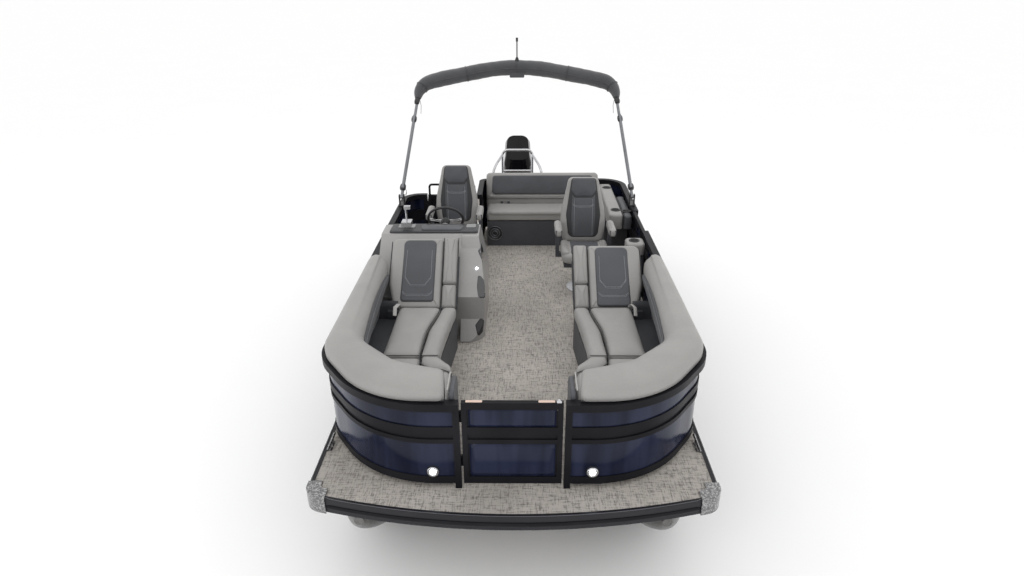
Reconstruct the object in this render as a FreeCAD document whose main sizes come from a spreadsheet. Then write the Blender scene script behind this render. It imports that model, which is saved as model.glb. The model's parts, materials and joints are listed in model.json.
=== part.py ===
"""Pontoon boat: a twin-tube deck boat with fenced deck, lounges, helm, folding top and tilted outboard.

Every piece is drawn in the deck's frame, in millimetres: x to port, y aft from the middle of the bow's
edge, z up from the deck's walking face. At the end all pieces are moved together, so that the boat's
own frame has its origin on the ground under the middle of its box.
"""
import FreeCAD
import Part
import Sketcher
import math
import os

from FreeCAD import Placement, Rotation, Vector

doc = FreeCAD.newDocument("pontoon_boat")
sheet = doc.addObject("Spreadsheet::Sheet", "Sizes")

# name, millimetres or degrees, what it is
SIZES = [
    # overall
    ("beam", 2590, "overall width over the deck's edge trim"),
    ("deck_length", 6400, "bow edge to aft edge on the centreline"),
    ("bow_radius", 4600, "plan radius of the bowed front edge"),
    ("corner_radius", 110, "plan radius of the deck's corners"),
    # deck and frame
    ("plank", 22, "deck board thickness"),
    ("channel_height", 76, "cross member height"),
    ("channel_width", 45, "cross member flange width"),
    ("channel_wall", 5, "cross member wall"),
    ("channel_pitch", 406, "spacing of the cross members"),
    ("channel_first", 330, "first cross member behind the bow edge"),
    ("trim_thick", 28, "edge trim thickness"),
    ("trim_lip", 4, "edge trim above the deck face"),
    ("casting_proud", 8, "corner castings outside the edge trim"),
    ("casting_reach", 150, "corner castings' length along the deck's edge"),
    ("notch_width", 720, "motor well width"),
    ("notch_depth", 300, "motor well depth from the aft edge"),
    # tubes
    ("tube_diameter", 635, "pontoon tube diameter"),
    ("tube_inset", 330, "deck edge to the tube's centre"),
    ("tube_wall", 4, "tube wall"),
    ("tube_start", 150, "nose tip behind the bow edge"),
    ("nose_length", 850, "length of the tapered nose"),
    ("tube_short", 70, "aft end of the tubes ahead of the deck's aft edge"),
    ("riser_height", 45, "bracket between tube and cross members"),
    ("keel_height", 12, "wear strip under the tube"),
    ("keel_width", 60, "wear strip width"),
    # fence
    ("fence_inset", 30, "fence outer face inside the deck's edge"),
    ("fence_front", 255, "fence outer face behind the bow edge"),
    ("corner_across", 395, "the fence's cut bow corner, across the boat"),
    ("corner_along", 545, "the fence's cut bow corner, along the boat"),
    ("front_bend", 745, "plan radius of the front bend"),
    ("side_bend", 400, "plan radius of the side bend"),
    ("fence_top", 645, "top of the fence above the deck"),
    ("fence_depth", 32, "rail depth"),
    ("cap_overhang", 28, "top rail beyond the fence face"),
    ("cap_height", 51, "top rail height"),
    ("foot_height", 42, "gap under the bottom rail"),
    ("low_rail_top", 94, "top of the bottom rail"),
    ("waist_bottom", 345, "underside of the middle rail"),
    ("groove_bottom", 376, "lower edge of the middle rail's groove"),
    ("groove_top", 413, "upper edge of the middle rail's groove"),
    ("groove_back", 10, "depth of the middle rail's groove"),
    ("waist_top", 466, "top of the middle rail"),
    ("post_width", 40, "upright width"),
    ("panel_sheet", 4, "panel sheet thickness"),
    ("panel_back", 8, "panel sheet behind the fence face"),
    ("gate_half", 312, "half the bow gate's opening"),
    ("gate_gap", 7, "gap round a gate"),
    ("stern_corner", 180, "plan radius of the aft starboard corner"),
    ("stern_gate_out", 1020, "stern gate's outer post from the centreline"),
    ("bench_end", 430, "starboard end of the aft fence from the centreline"),
    ("side_gate_width", 610, "width of the side gate's opening"),
    ("grab_rise", 115, "stern gate's grab rail above the fence"),
    ("hinge_out", 9, "gate hinge axis outside the gate's face"),
    ("barrel", 8, "gate hinge barrel radius"),
    ("hinge_pin", 3.5, "gate hinge pin radius"),
    ("running_gap", 0.4, "clearance between a pin and its bore"),
    # bow lounges
    ("seat_bottom", 310, "underside of the seat cushions"),
    ("seat_top", 420, "top of the bow seat cushions"),
    ("lid_gap", 4, "lifting seat above its base"),
    ("wall", 12, "moulded furniture wall"),
    ("lounge_front", 1200, "front of the lounge's lifting seat"),
    ("lounge_back", 2010, "back of the lounge's lifting seat"),
    ("pocket_width", 285, "fence face to the lounge seat's outer edge"),
    ("aisle_back", 485, "lounge seat's inner edge at its back, from the centreline"),
    ("aisle_front", 550, "lounge seat's inner edge at its front, from the centreline"),
    ("aisle_nose", 430, "front cushion's inner edge, from the centreline"),
    ("nose_front", 620, "front of the lounge's fixed cushion"),
    ("base_recess", 12, "lounge base behind the seat's edge"),
    ("bolster_top", 742, "top of the coaming bolster"),
    ("bolster_low", 520, "underside of the coaming bolster"),
    ("bolster_past", 370, "coaming bolster's aft end behind the lounge seat"),
    ("bolster_width", 155, "bolster's width at its aft end, from the fence face"),
    ("back_thick", 110, "lounge backrest thickness"),
    ("port_back_top", 760, "top of the port lounge backrest"),
    ("starboard_back_top", 800, "top of the starboard lounge backrest"),
    ("back_lean", 50, "lounge backrest lean, degrees"),
    # helm
    ("console_inner", 262, "inboard face of the helm console, from the centreline"),
    ("console_gap", 97, "console's foot behind the lounge seat"),
    ("console_length", 903, "helm console from its foot to its aft face"),
    ("console_top", 785, "top of the helm console"),
    ("console_corner", 200, "plan radius of the console's front corner"),
    ("wheel_radius", 165, "steering wheel rim radius"),
    ("wheel_grip", 13, "steering wheel rim section radius"),
    ("wheel_tilt", 32, "steering column above level, degrees"),
    ("column_radius", 16, "steering column radius"),
    # chairs
    ("chair_height", 350, "underside of the chair cushion"),
    ("chair_half", 240, "half the chair cushion's width"),
    ("chair_back_top", 1085, "top of the chair backrests"),
    ("spindle", 21.6, "chair spindle radius"),
    ("captain_clear", 615, "captain's chair axis from the fence face"),
    ("captain_behind", 760, "captain's chair axis behind the console"),
    ("passenger_clear", 585, "passenger's chair axis from the fence face"),
    ("passenger_y", 3285, "passenger's chair axis behind the bow edge"),
    # stern bench
    ("stern_gate_behind", 660, "aft face of the starboard fence behind the captain's chair"),
    ("aft_fence_behind", 610, "aft face of the aft fence behind the stern gate"),
    ("bench_back_depth", 250, "bench seat's back edge ahead of the aft fence's face"),
    ("bench_seat_depth", 355, "bench seat, front to back"),
    ("bench_seat_top", 440, "top of the bench seat"),
    ("bench_inner", 350, "starboard end of the bench seat, from the centreline"),
    ("arm_space", 315, "fence face to the bench seat's port end"),
    ("bench_back_top", 765, "top of the bench backrest"),
    ("arm_front", 3760, "front of the port arm pads"),
    ("arm_top", 620, "top of the port arm pads"),
    ("arm_depth", 170, "height of the port arm pads"),
    ("cup_radius", 38, "cup holder radius"),
    ("cup_depth", 75, "cup holder depth"),
    # folding top
    ("top_behind", 220, "folding top's pivot behind the side gate"),
    ("top_pivot_rise", 90, "folding top's pivot above the fence"),
    ("top_inset", 15, "folding top's leg inside the fence face"),
    ("top_raise", 45, "stored angle of the folding top, degrees"),
    ("leg_length", 1460, "folding top's leg up to its bend"),
    ("leg_lean", 125, "how far the legs come in by their bends"),
    ("crown_rise", 1672, "middle of the crown from the pivot"),
    ("leg_radius", 16, "folding top's tube radius"),
    ("boot_radius", 90, "stowed canopy's section radius"),
    ("mast_height", 222, "all-round light's mast above the stowed canopy"),
    # stern gear
    ("tow_ahead", 840, "tow bar ahead of the deck's aft edge"),
    ("tow_height", 880, "tow bar height"),
    ("tow_half", 200, "half the tow bar's top width"),
    ("tow_radius", 16, "tow bar tube radius"),
    ("ladder_x", 820, "boarding ladder's middle, to starboard"),
    ("ladder_half", 180, "half the boarding ladder's width"),
    ("ladder_length", 760, "boarding ladder's length"),
    ("ladder_axle", 9, "boarding ladder's axle radius"),
    # motor
    ("transom_ahead", 100, "aft face of the motor's transom ahead of the deck's aft edge"),
    ("transom_drop", 60, "top of the motor's transom below the deck face"),
    ("transom_thick", 45, "transom thickness"),
    ("pod_half", 310, "half the motor pod's width"),
    ("pod_length", 1100, "motor pod ahead of the transom's aft face"),
    ("pod_depth", 650, "underside of the motor pod below the deck face"),
    ("tilt_axis", 38, "motor's tilt axis above the transom"),
    ("tilt_tube", 14, "motor's tilt tube radius"),
    ("motor_tilt", 36, "stored tilt of the motor, degrees"),
    ("steer_axis", 120, "motor's steering axis aft of its tilt axis"),
    ("steer_shaft", 20, "motor's steering shaft radius"),
    ("plate_drop", 700, "anti-ventilation plate below the tilt axis"),
    ("cowl_width", 405, "motor cowl width"),
    ("cowl_length", 640, "motor cowl length"),
    ("cowl_height", 690, "motor cowl height"),
    ("propeller_radius", 178, "propeller radius"),
    ("propeller_shaft", 12, "propeller shaft radius"),
]
for row, (name, value, note) in enumerate(SIZES, start=1):
    sheet.set(f"A{row}", name)
    sheet.set(f"B{row}", str(value))
    sheet.set(f"C{row}", note)
    sheet.setAlias(f"B{row}", name)
doc.recompute()


def said(value):
    """A size as the text of an expression; a plain number as its own digits."""
    return getattr(value, "text", f"({float(value)!r})")


class Size(float):
    """A number that remembers the sheet expression it is worked out from."""

    def __new__(cls, value, text):
        made = super().__new__(cls, value)
        made.text = text
        return made

    def __add__(self, other):
        return Size(float(self) + float(other), f"({said(self)} + {said(other)})")

    def __sub__(self, other):
        return Size(float(self) - float(other), f"({said(self)} - {said(other)})")

    def __rsub__(self, other):
        return Size(float(other) - float(self), f"({said(other)} - {said(self)})")

    def __mul__(self, other):
        return Size(float(self) * float(other), f"({said(self)} * {said(other)})")

    def __truediv__(self, other):
        return Size(float(self) / float(other), f"({said(self)} / {said(other)})")

    def __neg__(self):
        return Size(-float(self), f"(-1 * {said(self)})")

    __radd__ = __add__
    __rmul__ = __mul__


class Values:
    """The sheet's values by name, each still tied to its cell."""

    def __getattr__(self, name):
        return Size(float(sheet.get(name)), "Sizes." + name)


S = Values()
NODES = {}

# sizes that follow from the sheet's
frame_bottom = -(S.plank + S.channel_height)
tube_radius = S.tube_diameter / 2
tube_centre_z = frame_bottom - S.riser_height - tube_radius
tube_offset = S.beam / 2 - S.tube_inset
tube_end = S.deck_length - S.tube_short
fence_half = S.beam / 2 - S.fence_inset
fence_inside = fence_half - S.fence_depth
lounge_outer = fence_half - S.pocket_width
top_pivot_z = S.fence_top + S.top_pivot_rise
console_front = S.lounge_back + S.console_gap
console_aft = console_front + S.console_length
captain_x = -(fence_half - S.captain_clear)
captain_y = console_aft + S.captain_behind
passenger_x = fence_half - S.passenger_clear
side_gate_front = S.lounge_back + 1190
side_gate_aft = side_gate_front + S.side_gate_width
stern_gate_y = captain_y + S.stern_gate_behind
aft_fence_y = stern_gate_y + S.aft_fence_behind
bench_hinge = aft_fence_y - S.bench_back_depth
bench_front = bench_hinge - S.bench_seat_depth
bench_outer = fence_half - S.arm_space
top_pivot_x = fence_half - S.top_inset
top_pivot_y = side_gate_aft + S.top_behind
tow_y = S.deck_length - S.tow_ahead
transom_y = S.deck_length - S.transom_ahead
transom_top = -S.transom_drop
pod_bottom = -S.pod_depth

RAILS = (  # the fence's level rails: low, high, how far the outer face stands back
    (S.foot_height, S.low_rail_top, 0),
    (S.waist_bottom, S.groove_bottom, 0),
    (S.groove_bottom, S.groove_top, S.groove_back),
    (S.groove_top, S.waist_top, 0),
    (S.fence_top - S.cap_height, S.fence_top, 0),
)
PANELS = (  # the fence's sheets: low, high
    (S.low_rail_top, S.waist_bottom),
    (S.waist_top, S.fence_top - S.cap_height),
)
GATE_HINGES = (150, 480)  # underside of each gate hinge above the deck
KNUCKLES = ((0, 24), (25, 55), (56, 80))  # a gate hinge's fixed, turning and fixed barrels, low and high


# ---------------------------------------------------------------- bound pieces
def keep(label, obj):
    """Registers an object as the node of that name."""
    obj.Label = label
    NODES[label] = obj
    return obj


def bind_base(obj, place):
    """Ties an object's position to the sheet."""
    for axis, value in zip("xyz", place):
        obj.setExpression(".Placement.Base." + axis, said(value))


def box(name, x, y, z):
    """A box between a low and a high limit across, along and up."""
    made = doc.addObject("Part::Box", name)
    bind_base(made, (x[0], y[0], z[0]))
    for side, (low, high) in zip(("Length", "Width", "Height"), (x, y, z)):
        made.setExpression(side, said(high - low))
    return made


def rod(name, start, toward, radius, length):
    """A round bar from a point in a direction."""
    made = doc.addObject("Part::Cylinder", name)
    made.Placement = Placement(Vector(0, 0, 0), Rotation(Vector(0, 0, 1), Vector(*toward)))
    bind_base(made, start)
    made.setExpression("Radius", said(radius))
    made.setExpression("Height", said(length))
    return made


def fuse(name, *pieces):
    made = doc.addObject("Part::MultiFuse", name)
    made.Shapes = list(pieces)
    made.Refine = True
    return made


def common(name, *pieces):
    made = doc.addObject("Part::MultiCommon", name)
    made.Shapes = list(pieces)
    return made


def cut(name, base, tool):
    made = doc.addObject("Part::Cut", name)
    made.Base = base
    made.Tool = tool
    return made


def group(name, *pieces):
    """Pieces of one node that don't touch each other."""
    made = doc.addObject("Part::Compound", name)
    made.Links = list(pieces)
    return made


def upright(edge):
    """Whether a straight edge runs up and down."""
    ends = [v.Point for v in edge.Vertexes]
    return len(ends) == 2 and abs(ends[0].x - ends[1].x) < 1e-6 and abs(ends[0].y - ends[1].y) < 1e-6


def rounded(name, base, radius, wanted=upright):
    """A piece with the wanted edges rounded."""
    doc.recompute()
    made = doc.addObject("Part::Fillet", name)
    made.Base = base
    edges = enumerate(base.Shape.Edges, start=1)
    made.Edges = [(number, float(radius), float(radius)) for number, edge in edges if wanted(edge)]
    return made


def across(side, near, far):
    """Limits across the boat from two distances off the centreline, for one side of it."""
    return tuple(sorted((side * near, side * far)))


def origin_feature(body, role):
    return [feature for feature in body.Origin.OriginFeatures if feature.Role == role][0]


def new_body(label):
    return keep(label, doc.addObject("PartDesign::Body", label + "_body"))


def sketched(body, plane, first, second, height):
    """A rectangle on one of the body's own planes, its four edges and its height tied to the sheet."""
    sketch = body.newObject("Sketcher::SketchObject", body.Name + "_sketch")
    sketch.AttachmentSupport = (origin_feature(body, plane), [""])
    sketch.MapMode = "FlatFace"
    sketch.setExpression(".AttachmentOffset.Base.z", said(height))
    corners = [Vector(first[i], second[j], 0) for i, j in ((0, 0), (1, 0), (1, 1), (0, 1))]
    sketch.addGeometry([Part.LineSegment(corners[i], corners[(i + 1) % 4]) for i in range(4)], False)
    for i in range(4):
        sketch.addConstraint(Sketcher.Constraint("Coincident", i, 2, (i + 1) % 4, 1))
        sketch.addConstraint(Sketcher.Constraint("Vertical" if i % 2 else "Horizontal", i))
    for kind, corner, value in (("DistanceX", 0, first[0]), ("DistanceX", 2, first[1]),
                                ("DistanceY", 0, second[0]), ("DistanceY", 2, second[1])):
        number = sketch.addConstraint(Sketcher.Constraint(kind, -1, 1, corner, 1, float(value)))
        sketch.setExpression(f"Constraints[{number}]", said(value))
    return sketch


def pad(body, plane, first, second, span):
    """Raises a rectangle along its plane's normal, over a span from low to high."""
    feature = body.newObject("PartDesign::Pad", body.Name + "_pad")
    feature.Profile = sketched(body, plane, first, second, span[0])
    feature.setExpression("Length", said(span[1] - span[0]))
    return feature


def pocket(body, plane, first, second, span):
    """Cuts a rectangle along its plane's normal, over a span from low to high."""
    feature = body.newObject("PartDesign::Pocket", body.Name + "_pocket")
    feature.Profile = sketched(body, plane, first, second, span[0])
    feature.setExpression("Length", said(span[1] - span[0]))
    feature.Reversed = True
    return feature


def soften(body, radius):
    """Rounds the body's upright edges."""
    doc.recompute()
    solid = body.Tip
    edges = [f"Edge{i}" for i, edge in enumerate(solid.Shape.Edges, start=1) if upright(edge)]
    feature = body.newObject("PartDesign::Fillet", body.Name + "_fillet")
    feature.Base = (solid, edges)
    feature.Radius = radius
    return feature


# ---------------------------------------------------------------- shapes worked out in code
def shape_node(label, shape):
    """A node whose shape is worked out here, where no primitive or sketch fits."""
    made = doc.addObject("Part::Feature", label + "_shape")
    made.Shape = shape
    return keep(label, made)


def curve(points, closed=False):
    """Lines and arcs through points (x, y, z, radius): each radius rounds its own corner."""
    given = [(Vector(*p[:3]), p[3]) for p in points]
    count = len(given)
    corners = []
    for i, (here, radius) in enumerate(given):
        if radius <= 0 or (not closed and i in (0, count - 1)):
            corners.append((here, None, here))
            continue
        arrive = (here - given[i - 1][0]).normalize()
        leave = (given[(i + 1) % count][0] - here).normalize()
        turn = arrive.getAngle(leave)
        reach = radius * math.tan(turn / 2)
        inward = (leave - arrive).normalize()
        middle = here + inward * (radius / math.cos(turn / 2) - radius)
        corners.append((here - arrive * reach, middle, here + leave * reach))
    made = []
    for i, (start, middle, end) in enumerate(corners):
        if middle is not None:
            made.append(Part.Arc(start, middle, end))
        if i + 1 < count or closed:
            following = corners[(i + 1) % count][0]
            if (following - end).Length > 1e-4:
                made.append(Part.LineSegment(end, following))
    return made


def wire(geometry):
    return Part.Wire(Part.__sortEdges__([g.toShape() for g in geometry]))


def flat(points):
    """Closed plan outline from (x, y) or (x, y, radius) points."""
    return curve([(p[0], p[1], 0, p[2] if len(p) > 2 else 0) for p in points], closed=True)


def inset(points, distance):
    """A closed plan outline, anticlockwise from above, with every edge moved inward."""
    moved = []
    for i, here in enumerate(points):
        before, after = points[i - 1], points[(i + 1) % len(points)]
        arrive = Vector(here[0] - before[0], here[1] - before[1], 0).normalize()
        leave = Vector(after[0] - here[0], after[1] - here[1], 0).normalize()
        one, two = Vector(-arrive.y, arrive.x, 0), Vector(-leave.y, leave.x, 0)
        step = (one + two) * (distance / (1 + one.dot(two)))
        moved.append((here[0] + step.x, here[1] + step.y))
    return moved


def shifted(points, inward):
    """An open plan path of (x, y, radius), moved to its right-hand side, its bends kept concentric."""
    lines = []
    for (ax, ay, _), (bx, by, _) in zip(points, points[1:]):
        along = Vector(bx - ax, by - ay, 0).normalize()
        right = Vector(along.y, -along.x, 0)
        lines.append((Vector(ax, ay, 0) + right * inward, along))
    moved = [(lines[0][0].x, lines[0][0].y, 0)]
    for i in range(1, len(lines)):
        (p, d), (q, e) = lines[i - 1], lines[i]
        turning = d.x * e.y - d.y * e.x
        step = ((q.x - p.x) * e.y - (q.y - p.y) * e.x) / turning
        meet = p + d * step
        radius = points[i][2]
        if radius > 0:
            radius += inward if turning > 0 else -inward
        moved.append((meet.x, meet.y, radius))
    last = Vector(points[-1][0], points[-1][1], 0)
    end = last + Vector(lines[-1][1].y, -lines[-1][1].x, 0) * inward
    moved.append((end.x, end.y, 0))
    return moved


def band(points, outer, inner):
    """Closed outline of a strip along a plan path, from outer to inner millimetres inside it."""
    near = [(x, y, 0, r) for x, y, r in shifted(points, outer)]
    far = [(x, y, 0, r) for x, y, r in shifted(points, inner)]
    ends = [(near[0], far[0]), (near[-1], far[-1])]
    return curve(near) + curve(far) + [Part.LineSegment(Vector(*a[:3]), Vector(*b[:3])) for a, b in ends]


def pipe(points, radius):
    """A round bar along points (x, y, z, bend radius)."""
    spine = wire(curve(points))
    start = Vector(*points[0][:3])
    along = Vector(*points[1][:3]) - start
    ring = Part.Wire(Part.Circle(start, along, radius).toShape())
    return spine.makePipeShell([ring], True, False)


def bar(start, end, radius):
    """A straight round bar between two points."""
    start, end = Vector(*start), Vector(*end)
    return Part.makeCylinder(radius, (end - start).Length, start, end - start)


def block(x, y, z):
    """A box shape between a low and a high limit across, along and up."""
    return Part.makeBox(x[1] - x[0], y[1] - y[0], z[1] - z[0], Vector(x[0], y[0], z[0]))


def prism(points, x):
    """A side profile of (y, z) or (y, z, radius) points, drawn out across the boat."""
    outline = curve([(x[0], p[0], p[1], p[2] if len(p) > 2 else 0) for p in points], closed=True)
    return Part.Face(wire(outline)).extrude(Vector(x[1] - x[0], 0, 0))


def slab(geometry, low, high):
    """A plan outline raised between two heights."""
    face = Part.Face(wire(geometry))
    return face.extrude(Vector(0, 0, high - low)).translated(Vector(0, 0, low))


def mirrored(shape, side):
    """A shape drawn for starboard, moved to its own side."""
    return shape if side < 0 else shape.mirror(Vector(0, 0, 0), Vector(1, 0, 0))


# ---------------------------------------------------------------- deck
def deck_plan(name, grow, low, high):
    """The deck's plan, grown all round, between two heights."""
    half = S.beam / 2 - S.trim_thick + grow
    aft = S.deck_length - S.trim_thick + grow
    well = S.notch_width / 2 - grow
    plate = box(name + "_plate", (-half, half), (S.trim_thick - grow, aft), (low, high))
    disc = rod(name + "_disc", (0, S.bow_radius + S.trim_thick, low), (0, 0, 1), S.bow_radius + grow,
               high - low)
    bowed = common(name + "_bowed", plate, disc)
    radius = S.corner_radius - S.trim_thick + grow
    at_sides = rounded(name + "_corners", bowed, radius,
                       lambda edge: upright(edge) and abs(abs(edge.Vertexes[0].X) - half) < 1)
    notch = box(name + "_notch", (-well, well), (S.deck_length - S.notch_depth + grow, aft + 10),
                (low - 1, high + 1))
    return cut(name, at_sides, notch)


def make_deck():
    keep("deck", deck_plan("deck_boards", 0, -S.plank, 0))
    outer = deck_plan("trim_outer", S.trim_thick, frame_bottom, S.trim_lip)
    inner = deck_plan("trim_inner", 0, frame_bottom - 1, S.trim_lip + 1)
    keep("deck_edge_trim", cut("trim_ring", outer, inner))
    proud = S.casting_proud
    skin = deck_plan("casting_outer", S.trim_thick + proud, frame_bottom - proud, S.trim_lip + proud)
    seat = deck_plan("casting_seat", S.trim_thick, frame_bottom - proud, S.trim_lip)
    middle = deck_plan("casting_middle", -55, frame_bottom - 2 * proud, S.trim_lip + 2 * proud)
    ring = cut("casting_ring", cut("casting_hood", skin, seat), middle)
    half = S.beam / 2 + 2 * proud
    bow_edge = S.bow_radius - math.sqrt(S.bow_radius ** 2 - (S.beam / 2) ** 2)
    corners = []
    for side in (-1, 1):
        x = across(side, half - S.casting_reach, half)
        corners.append(box("bow_corner", x, (0, bow_edge + S.casting_reach - 30), (-200, 50)))
        aft_edge = (S.deck_length - S.casting_reach, S.deck_length + 50)
        corners.append(box("aft_corner", x, aft_edge, (-200, 50)))
    keep("corner_castings", common("castings", ring, group("casting_places", *corners)))


def make_cross_members():
    """Channels across the boat: one is sketched, hollowed and repeated along the deck."""
    body = new_body("cross_members")
    half = S.beam / 2 - S.trim_thick - 12
    first, wall = S.channel_first, S.channel_wall
    web = pad(body, "YZ_Plane", (first, first + S.channel_width), (frame_bottom, -S.plank), (-half, half))
    inside = pocket(body, "YZ_Plane", (first + wall, first + S.channel_width + 1),
                    (frame_bottom + wall, -S.plank - wall), (-half - 1, half + 1))
    doc.recompute()
    row = body.newObject("PartDesign::LinearPattern", "cross_member_row")
    row.Originals = [web, inside]
    row.Direction = (origin_feature(body, "Y_Axis"), [""])
    last = S.deck_length - S.notch_depth - 150 - first
    count = int(last // S.channel_pitch) + 1
    row.setExpression("Length", said((count - 1) * S.channel_pitch))
    row.Occurrences = count
    body.Tip = row


# ---------------------------------------------------------------- pontoon tubes
NOSE = (  # share of the nose from its tip, share of the tube's radius
    (0.0, 0.10), (0.12, 0.30), (0.36, 0.56), (0.68, 0.84), (1.0, 1.0))


def tube_form(x, skin):
    """A tube with its nose swept up to the deck, drawn some millimetres inside its surface."""
    nose_end = S.tube_start + S.nose_length
    rings = []
    for along, share in NOSE:
        radius = tube_radius * share
        y = S.tube_start + skin + along * (S.nose_length - skin)
        centre = Vector(x, y, tube_centre_z + tube_radius - radius)
        rings.append(Part.Wire(Part.Circle(centre, Vector(0, 1, 0), max(radius - skin, 8)).toShape()))
    barrel = bar((x, nose_end, tube_centre_z), (x, tube_end - skin, tube_centre_z), tube_radius - skin)
    return Part.makeLoft(rings, True, False).fuse(barrel).removeSplitter()


def make_tubes():
    bottom = tube_centre_z - tube_radius
    nose_end = S.tube_start + S.nose_length
    riser = (S.channel_first - 20, tube_end - 60)
    for label, side in (("starboard_tube", -1), ("port_tube", 1)):
        x = side * tube_offset
        keel = block((x - S.keel_width / 2, x + S.keel_width / 2), (nose_end + 20, tube_end - 60),
                     (bottom - S.keel_height, bottom + S.tube_wall))
        cap = block((x - 70, x + 70), riser, (frame_bottom - 6, frame_bottom))
        webs = [block((x + at - 4, x + at + 4), riser, (frame_bottom - S.riser_height - 16, frame_bottom))
                for at in (-62, 62)]
        hull = tube_form(x, 0).fuse([keel, cap] + webs)
        shape_node(label, hull.cut(tube_form(x, S.tube_wall)).removeSplitter())


# ---------------------------------------------------------------- fences
def starboard_path():
    """The starboard fence's outer face: along the bow, round the corner, aft and in to the stern gate."""
    return [(-S.gate_half - S.gate_gap, S.fence_front, 0),
            (-(fence_half - S.corner_across), S.fence_front, S.front_bend),
            (-fence_half, S.fence_front + S.corner_along, S.side_bend),
            (-fence_half, stern_gate_y, S.stern_corner),
            (-S.stern_gate_out - S.gate_gap, stern_gate_y, 0)]


def port_bow_path():
    """The port fence ahead of the side gate, drawn on the starboard side."""
    return starboard_path()[:3] + [(-fence_half, side_gate_front, 0)]


def port_stern_path():
    """The port fence behind the side gate and across the stern, drawn on the starboard side."""
    return [(-fence_half, side_gate_aft + S.gate_gap, 0), (-fence_half, aft_fence_y, 250),
            (S.bench_end, aft_fence_y, 70), (S.bench_end, stern_gate_y - S.fence_depth, 0)]


def path_point(points, at):
    """The point and direction at a length along an open plan path."""
    for piece in curve([(x, y, 0, r) for x, y, r in points]):
        if at <= piece.length() + 1e-6:
            where = piece.parameterAtDistance(min(at, piece.length()), piece.FirstParameter)
            return piece.value(where), piece.tangent(where)[0]
        at -= piece.length()
    raise ValueError("past the end of the path")


def post_at(points, at, width, outer, inner, low, high):
    """An upright across the fence at a length along its path."""
    here, along = path_point(points, at)
    right = Vector(along.y, -along.x, 0)
    corners = [here + along * a * width / 2 + right * b
               for a, b in ((-1, outer), (1, outer), (1, inner), (-1, inner))]
    return slab(flat([(c.x, c.y) for c in corners]), low, high)


def fence(points, side, spaces):
    """A fence's frame of level rails and uprights on feet, and the sheet panels between the rails."""
    bands = []
    for low, high, back in RAILS:
        outer = -S.cap_overhang if high == S.fence_top else back
        bands.append(slab(band(points, outer, S.fence_depth), low, high))
    length = sum(piece.length() for piece in curve([(x, y, 0, r) for x, y, r in points]))
    ends = (S.post_width / 2, length - S.post_width / 2)
    posts = [post_at(points, at, S.post_width, 0, S.fence_depth, 0, S.fence_top) for at in ends]
    for k in range(1, spaces):
        posts.append(post_at(points, length * k / spaces, S.post_width * 0.7, S.panel_back + 10,
                             S.fence_depth - 2, 0, S.fence_top - 10))
    frame = bands[0].fuse(bands[1:] + posts).removeSplitter()
    ends_out = Part.makeCompound([post_at(points, at, S.post_width, -1, S.fence_depth + 1, 0, S.fence_top)
                                  for at in ends])
    sheets = []
    for low, high in PANELS:
        sheet_band = slab(band(points, S.panel_back, S.panel_back + S.panel_sheet), low, high)
        sheets += sheet_band.cut(ends_out).Solids
    return mirrored(frame, side), [mirrored(one, side) for one in sheets]


def knuckles(x, y, plates, turning):
    """A gate hinge's barrels about the upright axis at x, y, each with its plate; plates is (x, y) limits."""
    made = []
    for base in GATE_HINGES:
        for number, (low, high) in enumerate(KNUCKLES):
            if (number == 1) == turning:
                barrel = Part.makeCylinder(S.barrel, high - low, Vector(x, y, base + low))
                plate = block(plates[0], plates[1], (base + low, base + high))
                piece = barrel.fuse(plate)
                if turning:
                    bore = Part.makeCylinder(S.hinge_pin + S.running_gap, high - low,
                                             Vector(x, y, base + low))
                    piece = piece.cut(bore)
                made.append(piece)
        if not turning:
            made.append(Part.makeCylinder(S.hinge_pin, KNUCKLES[-1][1] - 2, Vector(x, y, base + 1)))
    return made


def gate_axes():
    """Each gate's hinge axis (x, y), in the middle of its gap and clear of its face."""
    return {
        "bow_gate": (-S.gate_half - S.gate_gap / 2 + 3.5, S.fence_front + S.fence_depth + S.hinge_out),
        "side_gate": (fence_half + S.hinge_out, side_gate_aft),
        "stern_gate": (-S.stern_gate_out, stern_gate_y + S.hinge_out),
    }


def make_fences():
    axes = gate_axes()
    bow_x, bow_y = axes["bow_gate"]
    face = bow_y - S.hinge_out
    frame, sheets = fence(starboard_path(), -1, 5)
    bow_hinges = knuckles(bow_x, bow_y, ((bow_x - 34, bow_x), (face, face + 4)), False)
    aft_x, aft_y = axes["stern_gate"]
    face = aft_y - S.hinge_out
    aft_hinges = knuckles(aft_x, aft_y, ((aft_x - 34, aft_x), (face, face + 4)), False)
    shape_node("starboard_fence_frame", frame.fuse(bow_hinges + aft_hinges).removeSplitter())
    shape_node("starboard_fence_panels", Part.makeCompound(sheets))
    side_x, side_y = axes["side_gate"]
    face = side_x - S.hinge_out
    side_hinges = knuckles(side_x, side_y, ((face, face + 4), (side_y, side_y + 34)), False)
    bow, bow_sheets = fence(port_bow_path(), 1, 4)
    aft, aft_sheets = fence(port_stern_path(), 1, 5)
    shape_node("port_fence_frame", Part.makeCompound([bow, aft.fuse(side_hinges).removeSplitter()]))
    shape_node("port_fence_panels", Part.makeCompound(bow_sheets + aft_sheets))


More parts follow.
